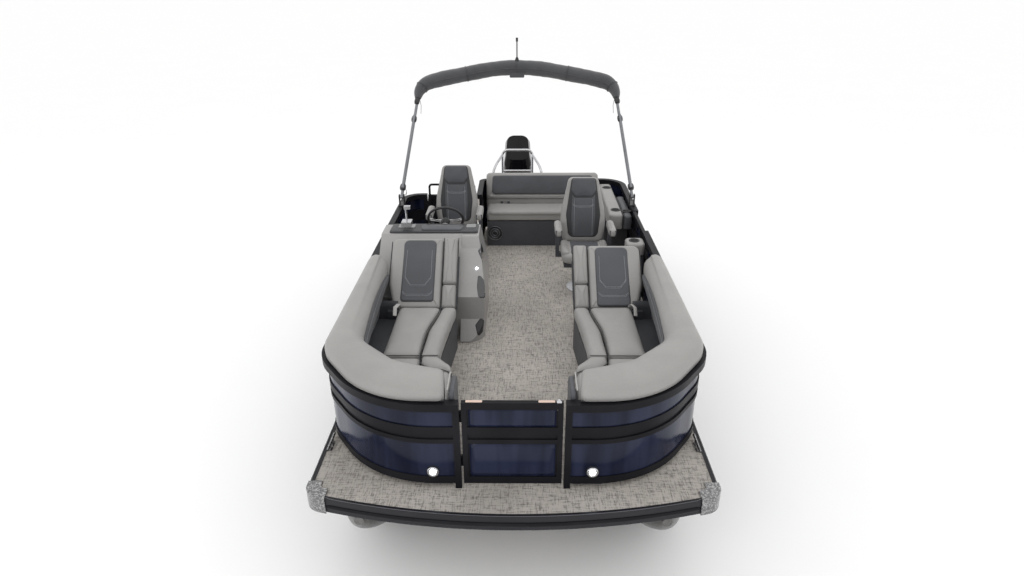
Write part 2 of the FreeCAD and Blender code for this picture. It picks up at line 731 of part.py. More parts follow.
def gate_leaf(name, width, place):
    """A gate's frame and sheets; place turns limits along and through the leaf into x and y limits."""
    low, high = S.foot_height, S.fence_top - 4
    stile = S.post_width - 8
    pieces = []
    for start in (0, width - stile):
        pieces.append(box(name + "_stile", *place((start, start + stile), (0, S.fence_depth)), (low, high)))
    for bottom, top, back in RAILS:
        limit = high if top == S.fence_top else top
        pieces.append(box(name + "_rail", *place((0, width), (back, S.fence_depth)), (bottom, limit)))
    for bottom, top in PANELS:
        sheet_depth = (S.panel_back, S.panel_back + S.panel_sheet)
        pieces.append(box(name + "_sheet", *place((stile, width - stile), sheet_depth), (bottom, top)))
    return pieces


def hinge_feature(name, x, y, plates):
    """The turning half of a gate's hinges."""
    made = doc.addObject("Part::Feature", name + "_hinges")
    made.Shape = Part.makeCompound(knuckles(x, y, plates, True))
    return made


def make_gates():
    gap = S.gate_gap
    axes = gate_axes()

    def bow_place(along, through):
        start = gap - S.gate_half
        return ((start + along[0], start + along[1]),
                (S.fence_front + through[0], S.fence_front + through[1]))

    x, y = axes["bow_gate"]
    face = y - S.hinge_out
    hinges = hinge_feature("bow_gate", x, y, ((x, x + 34), (face, face + 4)))
    keep("bow_gate", fuse("bow_leaf", *gate_leaf("bow", 2 * (S.gate_half - gap), bow_place), hinges))

    def side_place(along, through):
        start = side_gate_front + gap
        return ((fence_half - through[1], fence_half - through[0]), (start + along[0], start + along[1]))

    x, y = axes["side_gate"]
    face = x - S.hinge_out
    hinges = hinge_feature("side_gate", x, y, ((face, face + 4), (y - 34, y)))
    keep("side_gate", fuse("side_leaf", *gate_leaf("side", S.side_gate_width - 2 * gap, side_place), hinges))

    def stern_place(along, through):
        start = gap - S.stern_gate_out
        return ((start + along[0], start + along[1]), (stern_gate_y - through[1], stern_gate_y - through[0]))

    x, y = axes["stern_gate"]
    face = y - S.hinge_out
    hinges = hinge_feature("stern_gate", x, y, ((x, x + 34), (face, face + 4)))
    width = S.stern_gate_out - S.bench_end - 2 * gap - S.cap_overhang
    ends = (gap - S.stern_gate_out + 18, gap - S.stern_gate_out + width - 18)
    middle, foot, top = stern_gate_y - S.fence_depth / 2, S.fence_top - 8, S.fence_top + S.grab_rise
    grab = doc.addObject("Part::Feature", "stern_grab_rail")
    grab.Shape = pipe([(ends[0], middle, foot, 0), (ends[0], middle, top, 30),
                       (ends[1], middle, top, 30), (ends[1], middle, foot, 0)], 12)
    keep("stern_gate", fuse("stern_leaf", *gate_leaf("stern", width, stern_place), hinges, grab))


# ---------------------------------------------------------------- lounges
def lean_box(foot, thick, top, lean, x, round_off):
    """A backrest that leans aft from its foot (y, z)."""
    slope = math.tan(math.radians(lean))
    depth = thick / math.cos(math.radians(lean))
    rise = top - foot[1]
    points = [(foot[0], foot[1], 12), (foot[0] + depth, foot[1], 12),
              (foot[0] + depth + rise * slope, top, round_off), (foot[0] + rise * slope, top, round_off)]
    return prism(points, x)


def lid_axis():
    """The lounge lid's hinge axis, just outboard of the base: distance from the centreline, height."""
    return lounge_outer + 6, S.seat_bottom - 1.5


def lounge_base(back_top):
    """A starboard lounge's base: store under the lid, box under the front cushion, shell behind the rest."""
    front, back = S.lounge_front - 10, S.lounge_back + 20
    seat_inner, seat_corner = S.aisle_back + S.base_recess, S.aisle_front + S.base_recess
    store = [(-seat_corner, front), (-seat_inner, back), (-lounge_outer, back), (-lounge_outer, front)]
    tub = slab(flat(store), 0, S.seat_bottom - S.lid_gap)
    tub = tub.cut(slab(flat(inset(store, S.wall)), S.wall, S.seat_bottom))
    ahead = S.fence_front + S.fence_depth + 13
    nose_inner = S.aisle_nose - 28
    nose = [(-nose_inner, ahead), (-nose_inner, S.nose_front + 230),
            (-seat_corner, front), (-lounge_outer, front),
            (-lounge_outer, S.nose_front + 100), (-(fence_half - 705), ahead)]
    hood = slab(flat(nose), 0, S.seat_bottom)
    hood = hood.cut(slab(flat(inset(nose, S.wall)), -1, S.seat_bottom - S.wall))
    cheek = block((-nose_inner, -nose_inner + 20), (ahead, S.nose_front + 230), (0, S.seat_top))
    tray = block((-fence_inside, -lounge_outer), (S.lounge_front - 200, back), (265, 280))
    lean = math.radians(S.back_lean)
    depth = S.back_thick / math.cos(lean)
    foot_y, foot_z = S.lounge_back + 12 + depth + 6, S.seat_top - 36
    reach = 0.7 * (back_top - S.seat_top) / math.cos(lean)
    up, out = (math.sin(lean), math.cos(lean)), (math.cos(lean), -math.sin(lean))
    top_y, top_z = foot_y + reach * up[0], foot_z + reach * up[1]
    shell = prism([(back - S.wall, S.seat_bottom - 30), (back - S.wall, foot_z - 30),
                   (foot_y, foot_z), (top_y, top_z),
                   (top_y + S.wall * out[0], top_z + S.wall * out[1]),
                   (foot_y + 1.6 * S.wall * out[0], foot_z + 1.6 * S.wall * out[1]),
                   (back, S.seat_bottom - 30)],
                  (-(fence_half - 190), -seat_inner))
    axis_x, axis_z = lid_axis()
    hinges = []
    for y in (S.lounge_front + 90, S.lounge_back - 250):
        for low in (0, 112):
            hinges.append(bar((-axis_x, y + low, axis_z), (-axis_x, y + low + 48, axis_z), 6))
            hinges.append(block((-lounge_outer - 4, -lounge_outer), (y + low, y + low + 48),
                                (S.seat_bottom - 60, S.seat_bottom - 4)))
        hinges.append(bar((-axis_x, y + 2, axis_z), (-axis_x, y + 158, axis_z), S.hinge_pin))
    return tub.fuse([hood, cheek, tray, shell] + hinges).removeSplitter()


def lounge_seat():
    """A starboard lounge's lifting seat with the turning half of its hinges."""
    outer = lounge_outer - 3
    seat = slab(flat([(-outer, S.lounge_front, 30), (-outer, S.lounge_back, 20),
                      (-S.aisle_back, S.lounge_back, 20), (-S.aisle_front, S.lounge_front, 30)]),
                S.seat_bottom, S.seat_top)
    axis_x, axis_z = lid_axis()
    pieces = []
    for y in (S.lounge_front + 90 + 50, S.lounge_back - 250 + 50):
        barrel = bar((-axis_x, y, axis_z), (-axis_x, y + 60, axis_z), 6)
        strap = block((-axis_x, -outer + 60), (y, y + 60), (S.seat_bottom - 3, S.seat_bottom))
        bore = bar((-axis_x, y - 1, axis_z), (-axis_x, y + 61, axis_z), S.hinge_pin + S.running_gap)
        pieces.append(barrel.fuse(strap).cut(bore))
    return seat.fuse(pieces).removeSplitter()


def make_lounge(name, side, back_top):
    """One bow lounge: base, lifting seat, backrest and coaming bolster; returns its fixed front cushion."""
    shape_node(f"{name}_lounge_base", mirrored(lounge_base(back_top), side))
    shape_node(f"{name}_lounge_seat", mirrored(lounge_seat(), side))
    rest = lean_box((S.lounge_back + 12, S.seat_top - 30), S.back_thick, back_top, S.back_lean,
                    (-(fence_half - 180), -S.aisle_back - 5), 30)
    shape_node(f"{name}_lounge_backrest", mirrored(rest, side))
    shape_node(f"{name}_bolster", mirrored(bolster(), side))
    outline = [(-S.aisle_nose, S.nose_front, 30), (-S.aisle_nose - 10, S.nose_front + 330, 120),
               (-S.aisle_front + 2, S.lounge_front - 8, 10), (-(fence_half - 225), S.lounge_front - 8, 20),
               (-(fence_half - 225), S.nose_front + 140, 20), (-(fence_half - 330), S.nose_front, 20)]
    return mirrored(slab(flat(outline), S.seat_bottom, S.seat_top), side)


def bolster():
    """The starboard coaming pad: it rides on the fence's top rail and hangs down inside it."""
    end = S.lounge_back + S.bolster_past
    outer_path = starboard_path()[:3] + [(-fence_half, end, 0)]
    inner_path = [(-S.aisle_nose - 10, S.fence_front + 290, 0, 0),
                  (-(fence_half - 525), S.fence_front + 405, 0, 250),
                  (-(fence_half - 225), S.fence_front + 705, 0, 260),
                  (-(fence_half - S.bolster_width), end, 0, 0)]

    def strip(step, low, high):
        near = [(x, y, 0, r) for x, y, r in shifted(outer_path, step)]
        near[0] = (-S.aisle_nose - 10, near[0][1], 0, 0)
        ends = [(near[0], inner_path[0]), (near[-1], inner_path[-1])]
        sides = [Part.LineSegment(Vector(*a[:3]), Vector(*b[:3])) for a, b in ends]
        return slab(curve(near) + curve(inner_path) + sides, low, high)

    over = strip(-6, S.fence_top + 1, S.bolster_top)
    inside = strip(S.fence_depth + 1, S.bolster_low, S.fence_top + 1)
    return over.fuse(inside).removeSplitter()


# ---------------------------------------------------------------- helm
def wheel_axis():
    lean = math.radians(S.wheel_tilt)
    return Vector(0, math.cos(lean), math.sin(lean))


def wheel_centre():
    return Vector(captain_x - 20, console_aft + 70, S.console_top + 25)


def column_rod(start, end, radius):
    """A round bar on the steering column's axis, start and end counted forward from the wheel."""
    centre, axis = wheel_centre(), wheel_axis()
    return bar(centre - axis * start, centre - axis * end, radius)


def make_helm():
    top, aft, inner, wall = S.console_top, console_aft, S.console_inner, S.wall
    slope_foot, slope_top = console_front + 128, console_front + 633
    x = (-(fence_inside - 10), -inner)
    main = prism([(slope_foot, 0), (slope_foot, 385), (slope_top, top, 20),
                  (aft - 20, top, 12), (aft, top - 25, 8), (aft - 20, 0)], x)
    cheek = prism([(console_front, 0, 8), (console_front + 583, top, 25),
                   (slope_top + 60, top), (slope_top + 60, 0)], (-(S.aisle_back - 3), -inner))
    plan = slab(flat([(x[0], console_front - 10), (-inner, console_front, S.console_corner),
                      (-inner, aft, 25), (x[0], aft)]), -1, top + 1)
    leaning = [Vector(px, 0, pz) for px, pz in (
        (x[0], -1), (-inner - 10, -1), (-inner, 400), (-inner - 71, top), (-inner - 71, top + 10),
        (x[0], top + 10))]
    front_view = Part.Face(Part.makePolygon(leaning + leaning[:1])).extrude(Vector(0, aft + 10, 0))
    solid = main.fuse(cheek).common(plan).common(front_view)
    hollow = prism([(slope_foot + 2 * wall, -1), (slope_foot + 2 * wall, 380), (slope_top + wall, top - wall),
                    (aft - 20 - wall, top - wall), (aft - 20 - wall, -1)], (x[0] + wall, -inner - 71 - wall))
    column = S.column_radius
    shell = solid.cut(hollow).fuse(column_rod(66, 130, 2 * column + 2))
    shell = shell.cut(column_rod(60, 106, column + S.running_gap)).removeSplitter()
    shape_node("helm_console", shell)
    low, high = top + 3, top + 47
    dash = prism([(slope_top + 8, low), (slope_top + 28, high, 12), (slope_top + 150, high),
                  (slope_top + 166, high + 18, 10), (aft - 75, high + 18, 12), (aft - 25, low)],
                 (x[0] + 70, -inner - 85))
    shape_node("helm_dash", dash.cut(column_rod(60, 136, 2 * column + 4)))
    make_wheel()
    # throttle box and lever beside the wheel
    at = -(fence_half - 265)
    plinth = block((at - 45, at + 45), (slope_top + 40, slope_top + 140), (high + 1, high + 46))
    lever = pipe([(at, slope_top + 90, high + 34, 0), (at, slope_top + 90, high + 124, 20),
                  (at, slope_top + 70, high + 185, 0)], 9)
    grip = block((at - 14, at + 44), (slope_top + 55, slope_top + 89), (high + 165, high + 195))
    shape_node("throttle_control", plinth.fuse([lever, grip]).removeSplitter())


def make_wheel():
    """The steering wheel, drawn about its own axis and then turned onto the column."""
    rim = doc.addObject("Part::Torus", "wheel_rim")
    rim.setExpression("Radius1", said(S.wheel_radius))
    rim.setExpression("Radius2", said(S.wheel_grip))
    hub = rod("wheel_hub", (0, 0, -40), (0, 0, 1), 38, 34)
    column = rod("wheel_column", (0, 0, -100), (0, 0, 1), S.column_radius, 62)
    spokes = []
    for angle in (0, 90, 180):
        turn = math.radians(angle)
        toward = (math.cos(turn), math.sin(turn), 0.12)
        spokes.append(rod("wheel_spoke", (0, 0, -22), toward, 9, S.wheel_radius))
    wheel = keep("steering_wheel", fuse("wheel", rim, hub, column, *spokes))
    wheel.Placement = Placement(wheel_centre(), Rotation(Vector(0, 0, 1), wheel_axis()))


# ---------------------------------------------------------------- chairs
def make_chair(name, x, y):
    """A high-backed chair, looking forward, on a spindle; returns the pedestal that carries it."""
    under, half = S.chair_height, S.chair_half
    plate = rod(name + "_plate", (x, y, under - 63), (0, 0, 1), 110, 18)
    spindle = rod(name + "_spindle", (x, y, under - 123), (0, 0, 1), S.spindle, 60)
    tray = box(name + "_tray", (x - half + 30, x + half - 30), (y - 210, y + 190), (under - 45, under - 2))
    pieces = [plate, spindle, tray]
    for side in (-1, 1):
        at = x + side * (half + 22)
        upright_x, pad_x = (at - 18, at + 18), (at - 32, at + 32)
        bracket = tuple(sorted((at + side * 18, x + side * (half - 40))))
        pieces.append(box(name + "_arm_post", upright_x, (y + 70, y + 130), (under - 45, under + 265)))
        pieces.append(box(name + "_arm_pad", pad_x, (y - 150, y + 150), (under + 265, under + 315)))
        pieces.append(box(name + "_arm_foot", bracket, (y + 70, y + 130), (under - 45, under - 2)))
    keep(f"{name}_chair_frame", fuse(name + "_frame", *pieces))
    seat = new_body(f"{name}_chair_seat")
    pad(seat, "XY_Plane", (x - half + 2, x + half - 2), (y - 270, y + 150), (under, under + 130))
    soften(seat, 60)
    rest = lean_box((y + 152, under + 60), 120, S.chair_back_top, 12, (x - half + 2, x + half - 2), 50)
    shape_node(f"{name}_chair_backrest", rest)
    foot = rod(name + "_foot", (x, y, 0), (0, 0, 1), 165, 10)
    post = rod(name + "_post", (x, y, 0), (0, 0, 1), 45, under - 64)
    socket = rod(name + "_socket", (x, y, under - 130), (0, 0, 1), S.spindle + S.running_gap, 80)
    return cut(name + "_pedestal", fuse(name + "_stand", foot, post), socket)


# ---------------------------------------------------------------- stern bench
def bench_axis():
    """The bench lid's hinge axis behind its top edge: y, z."""
    return bench_hinge + 5, S.bench_seat_top - 4


def make_bench():
    back, wall = aft_fence_y - S.fence_depth - 8, S.wall
    x = (-S.bench_inner, bench_outer)
    front = bench_front + 22
    tub = box("bench_tub", x, (front, back), (0, S.seat_bottom - S.lid_gap))
    store = box("bench_store", (x[0] + wall, x[1] - wall), (front + wall, back - wall), (wall, S.seat_bottom))
    shelf = box("bench_shelf", x, (bench_hinge + 10, back), (S.seat_bottom - 20, S.seat_bottom - S.lid_gap))
    axis_y, axis_z = bench_axis()
    brackets = []
    for at in (x[0] + 150, x[1] - 250):
        for start in (at, at + 82):
            brackets.append(box("bench_bracket", (start, start + 30), (axis_y - 2, axis_y + 3),
                                (S.seat_bottom - 20, axis_z)))
            brackets.append(rod("bench_knuckle", (start, axis_y, axis_z), (1, 0, 0), 4, 30))
        brackets.append(rod("bench_pin", (at + 2, axis_y, axis_z), (1, 0, 0), 1.5, 108))
    bench = fuse("bench_base", cut("bench_box", tub, store), shelf, *brackets)
    box_x, box_y = (x[1] + 25, fence_inside - 6), (S.arm_front + 290, bench_hinge)
    side_top = S.arm_top - S.arm_depth
    side_box = box("side_box", box_x, box_y, (0, side_top))
    side_store = box("side_store", (box_x[0] + wall, box_x[1] - wall), (box_y[0] + wall, box_y[1] - wall),
                     (-1, side_top - wall))
    keep("stern_bench_base", group("bench_bases", bench, cut("side_shell", side_box, side_store)))
    cushion = box("bench_cushion", x, (bench_front, bench_hinge), (S.seat_bottom, S.bench_seat_top))
    lid = rounded("bench_lid", cushion, 30)
    tabs = []
    for at in (x[0] + 150, x[1] - 250):
        barrel = rod("lid_knuckle", (at + 32, axis_y, axis_z), (1, 0, 0), 4, 48)
        strap = box("lid_strap", (at + 32, at + 80), (bench_hinge - 20, axis_y), (axis_z - 1, axis_z + 3))
        bore = rod("lid_bore", (at + 31, axis_y, axis_z), (1, 0, 0), 1.5 + S.running_gap, 50)
        tabs.append(cut("lid_hinge", fuse("lid_tab", barrel, strap), bore))
    keep("stern_bench_seat", fuse("bench_seat", lid, *tabs))
    rest = prism([(bench_hinge + 16, S.seat_bottom + 20, 12), (back + 2, S.seat_bottom - S.lid_gap),
                  (back + 2, S.bench_back_top - 12, 60), (bench_hinge + 50, S.bench_back_top, 45),
                  (bench_hinge + 16, S.bench_seat_top + 60, 30)],
                 (-S.bench_end + S.fence_depth + 26, bench_outer + 20))
    shape_node("stern_bench_backrest", rest)
    make_arms()
    make_cup_stand()


def cups():
    """The cup holders: x, y and top of each."""
    pad_aft = aft_fence_y - 100
    return ((fence_inside - 170, S.arm_front + 165, S.arm_top),
            (fence_inside - 170, pad_aft - 180, S.arm_top),
            (fence_inside - 49.5, S.arm_front + 165, S.arm_top - 15),
            (fence_inside - 105, passenger_stand_y(), S.arm_top))


def cup(number):
    x, y, top = cups()[number]
    return rod("cup", (x, y, top - S.cup_depth), (0, 0, 1), S.cup_radius, S.cup_depth + 5)


def make_arms():
    """The two pads along the port side, the inner one reaching past the bench's back."""
    pad_aft = aft_fence_y - 100
    low = S.arm_top - S.arm_depth
    inner_x, outer_x = (bench_outer + 30, fence_inside - 103), (fence_inside - 93, fence_inside - 6)
    inner = rounded("inner_pad", box("inner_arm", inner_x, (S.arm_front, pad_aft), (low, S.arm_top)), 25)
    outer_y = (S.arm_front, S.arm_front + 720)
    outer = rounded("outer_pad", box("outer_arm", outer_x, outer_y, (low, S.arm_top - 15)), 25)
    inner_cups = group("inner_cups", cup(0), cup(1))
    pads = [cut("inner_arm_pad", inner, inner_cups), cut("outer_arm_pad", outer, cup(2))]
    keep("stern_arm_pads", group("arm_pads", *pads))


def passenger_stand_y():
    return S.lounge_back + S.bolster_past + 620


def make_cup_stand():
    y, x = passenger_stand_y(), (fence_inside - 188, fence_inside - 6)
    top = rounded("stand_top", box("stand_slab", x, (y - 100, y + 100), (500, S.arm_top)), 40)
    stem = box("stand_stem", (x[0] + 60, x[1]), (y - 75, y + 75), (0, 500))
    keep("port_cup_stand", fuse("cup_stand", cut("stand_bored", top, cup(3)), stem))


# ---------------------------------------------------------------- folding top, stowed in its boot
def top_point(x, along, off=0):
    """A point of the folding top: across the boat, out along its plane from the pivot, and off the plane."""
    lift = math.radians(S.top_raise)
    y = top_pivot_y + along * math.cos(lift) - off * math.sin(lift)
    z = top_pivot_z + along * math.sin(lift) + off * math.cos(lift)
    return float(x), float(y), float(z)


def hoop_points():
    """Corner points (x, along, bend radius) of the hoop from port to starboard."""
    bend_x = top_pivot_x - S.leg_lean
    half = [(top_pivot_x, 0, 0), (bend_x, S.leg_length, 240), (bend_x - 275, S.leg_length + 85, 900)]
    crown = (0, S.crown_rise + 70, 2600)
    return half + [crown] + [(-x, along, radius) for x, along, radius in reversed(half)]


def make_top():
    pivot_bolt = 6
    mounts = []
    for side in (-1, 1):
        x = side * top_pivot_x
        foot = box("top_foot", (x - 26, x + 26), (top_pivot_y - 70, top_pivot_y + 70),
                   (S.fence_top, S.fence_top + 14))
        ears = [box("top_ear", (x + low, x + high), (top_pivot_y - 24, top_pivot_y + 24),
                    (S.fence_top, top_pivot_z + 24)) for low, high in ((-30, -20), (20, 30))]
        bolt = rod("top_bolt", (x - 34, top_pivot_y, top_pivot_z), (1, 0, 0), pivot_bolt, 68)
        mounts.append(fuse("top_mount", foot, *ears, bolt))
    keep("top_mounts", group("mounts", *mounts))
    lean = S.leg_lean / S.leg_length
    extras, bores = [], []
    for side in (-1, 1):
        x = side * top_pivot_x

        def beside(along, off):
            return top_point(x - side * lean * along, along, off)

        pivot = Vector(*top_point(x, 0))
        extras.append(Part.makeCylinder(19, 30, pivot - Vector(15, 0, 0), Vector(1, 0, 0)))
        bores.append(Part.makeCylinder(pivot_bolt + S.running_gap, 40, pivot - Vector(20, 0, 0),
                                       Vector(1, 0, 0)))
        extras.append(bar(beside(90, 34), beside(S.leg_length - 440, 34), 13))
        extras += [bar(beside(at, -6), beside(at, 40), 17) for at in (110, S.leg_length - 480)]
    hoop = pipe([top_point(x, along) + (radius,) for x, along, radius in hoop_points()], S.leg_radius)
    shape_node("top_frame", hoop.fuse(extras).cut(Part.makeCompound(bores)).removeSplitter())
    # the boot covers the crown and both bends
    start = S.leg_length - 200
    rows = hoop_points()
    rows[0] = (top_pivot_x - lean * start, start, 0)
    rows[-1] = (-rows[0][0], start, 0)
    sleeve = pipe([top_point(x, along) + (radius,) for x, along, radius in rows], S.boot_radius)
    shape_node("top_boot", sleeve.cut(hoop).removeSplitter())
    make_light(sleeve)


def make_light(sleeve):
    """The all-round light, standing on the stowed canopy in the middle."""
    x, y, z = top_point(0, S.crown_rise)
    seat = z + S.boot_radius
    foot = Part.makeCone(34, 12, 54, Vector(x, y, seat - 12), Vector(0, 0, 1))
    mast = bar((x, y, seat), (x, y, seat + S.mast_height), 7)
    lamp = bar((x, y, seat + S.mast_height - 8), (x, y, seat + S.mast_height + 34), 13)
    shape_node("anchor_light", foot.fuse([mast, lamp]).cut(sleeve).removeSplitter())


# ---------------------------------------------------------------- stern gear
def ladder_hinge():
    """The ladder's hinge axis: y, z."""
    return S.deck_length + 42, S.trim_lip + 34


def make_tow_bar():
    r, y, half, high = S.tow_radius, tow_y, S.tow_half - 8, S.tow_height
    pieces = [bar((-half, y, 610), (half, y, 610), r * 0.8)]
    for side in (-1, 1):
        brace_foot = (side * 470, y - 330)
        pieces.append(pipe([(side * half, y - 6, high - 60, 0),
                            (side * (half + 98), y - 150, high - 180, 260), brace_foot + (6, 0)], r))
        for x, at in ((side * half, y), brace_foot):
            pieces.append(Part.makeCylinder(42, 8, Vector(x, at, 0)))
    hoop = pipe([(half, y, 6, 0), (half, y, high, 70), (-half, y, high, 70), (-half, y, 6, 0)], r)
    shape_node("tow_bar", hoop.fuse(pieces).removeSplitter())


def make_ladder():
    """The boarding ladder, folded forward on the aft deck, and the brackets that carry its axle."""
    x, half, aft = -S.ladder_x, S.ladder_half, S.deck_length
    hinge_y, hinge_z = ladder_hinge()
    brackets = []
    for side in (-1, 1):
        at = x + side * (half + 22)
        ear = box("ladder_ear", (at - 6, at + 6), (aft - 60, hinge_y + 22), (S.trim_lip, hinge_z + 22))
        foot = box("ladder_foot", (at - 20, at + 20), (aft - 90, aft), (S.trim_lip, S.trim_lip + 8))
        hole = rod("ladder_hole", (at - 10, hinge_y, hinge_z), (1, 0, 0), S.ladder_axle + S.running_gap, 20)
        brackets.append(cut("ladder_bracket", fuse("ladder_cheek", ear, foot), hole))
    keep("ladder_brackets", group("ladder_pair", *brackets))
    pieces = [rod("ladder_bar", (x - half - 32, hinge_y, hinge_z), (1, 0, 0), S.ladder_axle, 2 * half + 64)]
    for side in (-1, 1):
        pieces.append(rod("ladder_rail", (x + side * half, hinge_y + 14, hinge_z), (0, -1, 0), 14,
                          S.ladder_length + 14))
    for k in range(3):
        at = hinge_y - 210 - k * 240
        pieces.append(box("ladder_step", (x - half, x + half), (at - 42, at + 42),
                          (hinge_z - 11, hinge_z + 11)))
    keep("boarding_ladder", fuse("ladder", *pieces))


def make_fittings():
    """Cleats at the deck's edges and the two docking lights in the bow panels."""
    cleats, lamps = [], []
    for side in (-1, 1):
        x = side * (S.beam / 2 - S.trim_thick - 20)
        for y in (670, S.deck_length - 500):
            stands = [rod("cleat_stand", (x, y + at, 0), (0, 0, 1), 9, 34) for at in (-30, 30)]
            horn = rod("cleat_horn", (x, y - 95, 38), (0, 1, 0), 9, 190)
            foot = box("cleat_foot", (x - 12, x + 12), (y - 50, y + 50), (0, 6))
            cleats.append(fuse("cleat", horn, foot, *stands))
        lamps.append(rod("lamp", (side * 495, S.fence_front + S.panel_back, 135), (0, -1, 0), 38, 16))
    keep("cleats", group("cleat_set", *cleats))
    keep("docking_lights", group("lamp_pair", *lamps))


# ---------------------------------------------------------------- motor
def tilted(node):
    """Turns a piece drawn with the motor upright, its tilt axis at the origin, to the stored tilt."""
    axis = Vector(0, transom_y, transom_top + S.tilt_axis)
    node.Placement = Placement(axis, Rotation(Vector(1, 0, 0), float(S.motor_tilt)))


def make_pod():
    """The motor pod under the deck, closed aft by the transom."""
    back, plate = transom_y - S.transom_thick, 8
    front = transom_y - S.pod_length
    outside = prism([(front, frame_bottom), (back, frame_bottom), (back, pod_bottom),
                     (front + 350, pod_bottom, 60)], (-S.pod_half, S.pod_half))
    inside = prism([(front + 30, frame_bottom - plate), (back - plate, frame_bottom - plate),
                    (back - plate, pod_bottom + plate), (front + 352, pod_bottom + plate)],
                   (-S.pod_half + plate, S.pod_half - plate))
    board = block((-S.pod_half, S.pod_half), (back, transom_y), (pod_bottom, transom_top))
    shape_node("motor_pod", outside.cut(inside).fuse(board).removeSplitter())


def make_clamp():
    """The clamp bracket: two cheeks hooked over the transom, joined by the tilt tube."""
    back, axis_z = transom_y - S.transom_thick, transom_top + S.tilt_axis
    pieces = []
    for side in (-1, 1):
        x = across(side, 118, 148)
        pieces.append(box("clamp_aft", x, (transom_y + 1, transom_y + 38), (transom_top - 320, axis_z + 26)))
        pieces.append(box("clamp_over", x, (back - 26, transom_y + 38), (transom_top + 1, axis_z + 26)))
        pieces.append(box("clamp_hook", x, (back - 26, back - 3), (transom_top - 36, axis_z + 26)))
    pieces.append(rod("clamp_tube", (-118, transom_y, axis_z), (1, 0, 0), S.tilt_tube, 236))
    keep("motor_clamp", fuse("clamp", *pieces))


def make_swivel():
    """The swivel bracket: it turns on the tilt tube and carries the steering shaft."""
    y = S.steer_axis
    lug = rod("swivel_lug", (-100, 0, 0), (1, 0, 0), 32, 200)
    web = box("swivel_web", (-62, 62), (10, y + 30), (-40, 32))
    housing = rod("swivel_housing", (0, y, -300), (0, 0, 1), 46, 330)
    spine = box("swivel_spine", (-30, 30), (46, y), (-300, 0))
    tilt_bore = rod("tilt_bore", (-110, 0, 0), (1, 0, 0), S.tilt_tube + S.running_gap, 220)
    steer_bore = rod("steer_bore", (0, y, -340), (0, 0, 1), S.steer_shaft + S.running_gap, 400)
    solid = fuse("swivel_solid", lug, web, housing, spine)
    tilted(keep("swivel_bracket", cut("swivel", solid, group("swivel_bores", tilt_bore, steer_bore))))


def make_leg():
    """The leg with its yokes and steering shaft, gear case, plate, skeg and propeller shaft."""
    y, drop = S.steer_axis, S.plate_drop
    prop_z = -drop - 185
    top = slab(flat([(-90, y + 70, 60), (90, y + 70, 60), (70, y + 330, 60), (-70, y + 330, 60)]), -360, 78)
    low = slab(flat([(-45, y + 60, 40), (45, y + 60, 40), (22, y + 300, 18), (-22, y + 300, 18)]),
               -drop - 180, -350)
    plate = slab(flat([(-60, y + 40, 30), (60, y + 40, 30), (120, y + 330, 60), (80, y + 500, 60),
                       (-80, y + 500, 60), (-120, y + 330, 60)]), -drop, -drop + 14)
    yokes = [block((-70, 70), (y - 40, y + 190), (36, 78)), block((-60, 60), (y - 34, y + 190), (-350, -306))]
    steer = bar((0, y, -318), (0, y, 38), S.steer_shaft)
    case = bar((0, y + 60, prop_z), (0, y + 390, prop_z), 56)
    bullet = Part.makeCone(18, 56, 130, Vector(0, y - 70, prop_z), Vector(0, 1, 0))
    skeg = prism([(y + 60, prop_z), (y + 270, prop_z), (y + 250, prop_z - 165, 12),
                  (y + 150, prop_z - 165, 12)], (-6, 6))
    shaft = bar((0, y + 388, prop_z), (0, y + 500, prop_z), S.propeller_shaft)
    leg = top.fuse([low, plate, steer, case, bullet, skeg, shaft] + yokes)
    tilted(shape_node("motor_leg", leg.removeSplitter()))


HOOD = (  # share of the cowl's height, share of its half width, its front stands back, share of its length
    (0.0, 0.80, 40, 0.90), (0.12, 0.98, 8, 0.99), (0.55, 1.0, 0, 1.0),
    (0.85, 0.94, 30, 0.95), (1.0, 0.80, 110, 0.84))
COWL_BOTTOM = 80


def hood(skin):
    """The cowl's outside, drawn some millimetres inside its surface."""
    front = S.steer_axis - 130
    sections = []
    for share, wide, ahead, behind in HOOD:
        w = S.cowl_width / 2 * wide - skin
        a, b = front + ahead + skin, front + S.cowl_length * behind - skin
        z = COWL_BOTTOM + S.cowl_height * share + {0.0: skin, 1.0: -skin}.get(share, 0)
        r = min(w, (b - a) / 2) * 0.62
        corners = [(-w, a, z, r), (w, a, z, r), (w * 0.86, b, z, r), (-w * 0.86, b, z, r)]
        sections.append(wire(curve(corners, closed=True)))
    return Part.makeLoft(sections, True, True)


def make_cowl():
    tilted(shape_node("motor_cowl", hood(0).cut(hood(10))))
    y, low = S.steer_axis, COWL_BOTTOM
    engine = box("engine", (-120, 120), (y + 20, y + 370), (low + 30, low + 450))
    foot = box("engine_foot", (-60, 60), (y + 60, y + 200), (low + 10, low + 30))
    tilted(keep("engine_block", fuse("powerhead", engine, foot)))


def make_propeller():
    """Three twisted blades on a hub that rides on the leg's shaft."""
    y, z = S.steer_axis + 400, -S.plate_drop - 185
    tip = S.propeller_radius
    blades = []
    for k in range(3):
        blade = slab(flat([(-26, 30, 8), (26, 30, 8), (72, 110, 30), (40, tip, 40), (-40, tip, 40),
                           (-66, 110, 30)]), -3, 3)
        for axis, angle in ((Vector(0, 1, 0), 28), (Vector(1, 0, 0), 90), (Vector(0, 1, 0), 120 * k)):
            blade.rotate(Vector(0, 0, 0), axis, angle)
        blades.append(blade.translated(Vector(0, y + 55, z)))
    hub = Part.makeCone(50, 36, 120, Vector(0, y, z), Vector(0, 1, 0))
    bore = bar((0, y - 20, z), (0, y + 180, z), S.propeller_shaft + S.running_gap)
    tilted(shape_node("propeller", hub.fuse(blades).cut(bore).removeSplitter()))


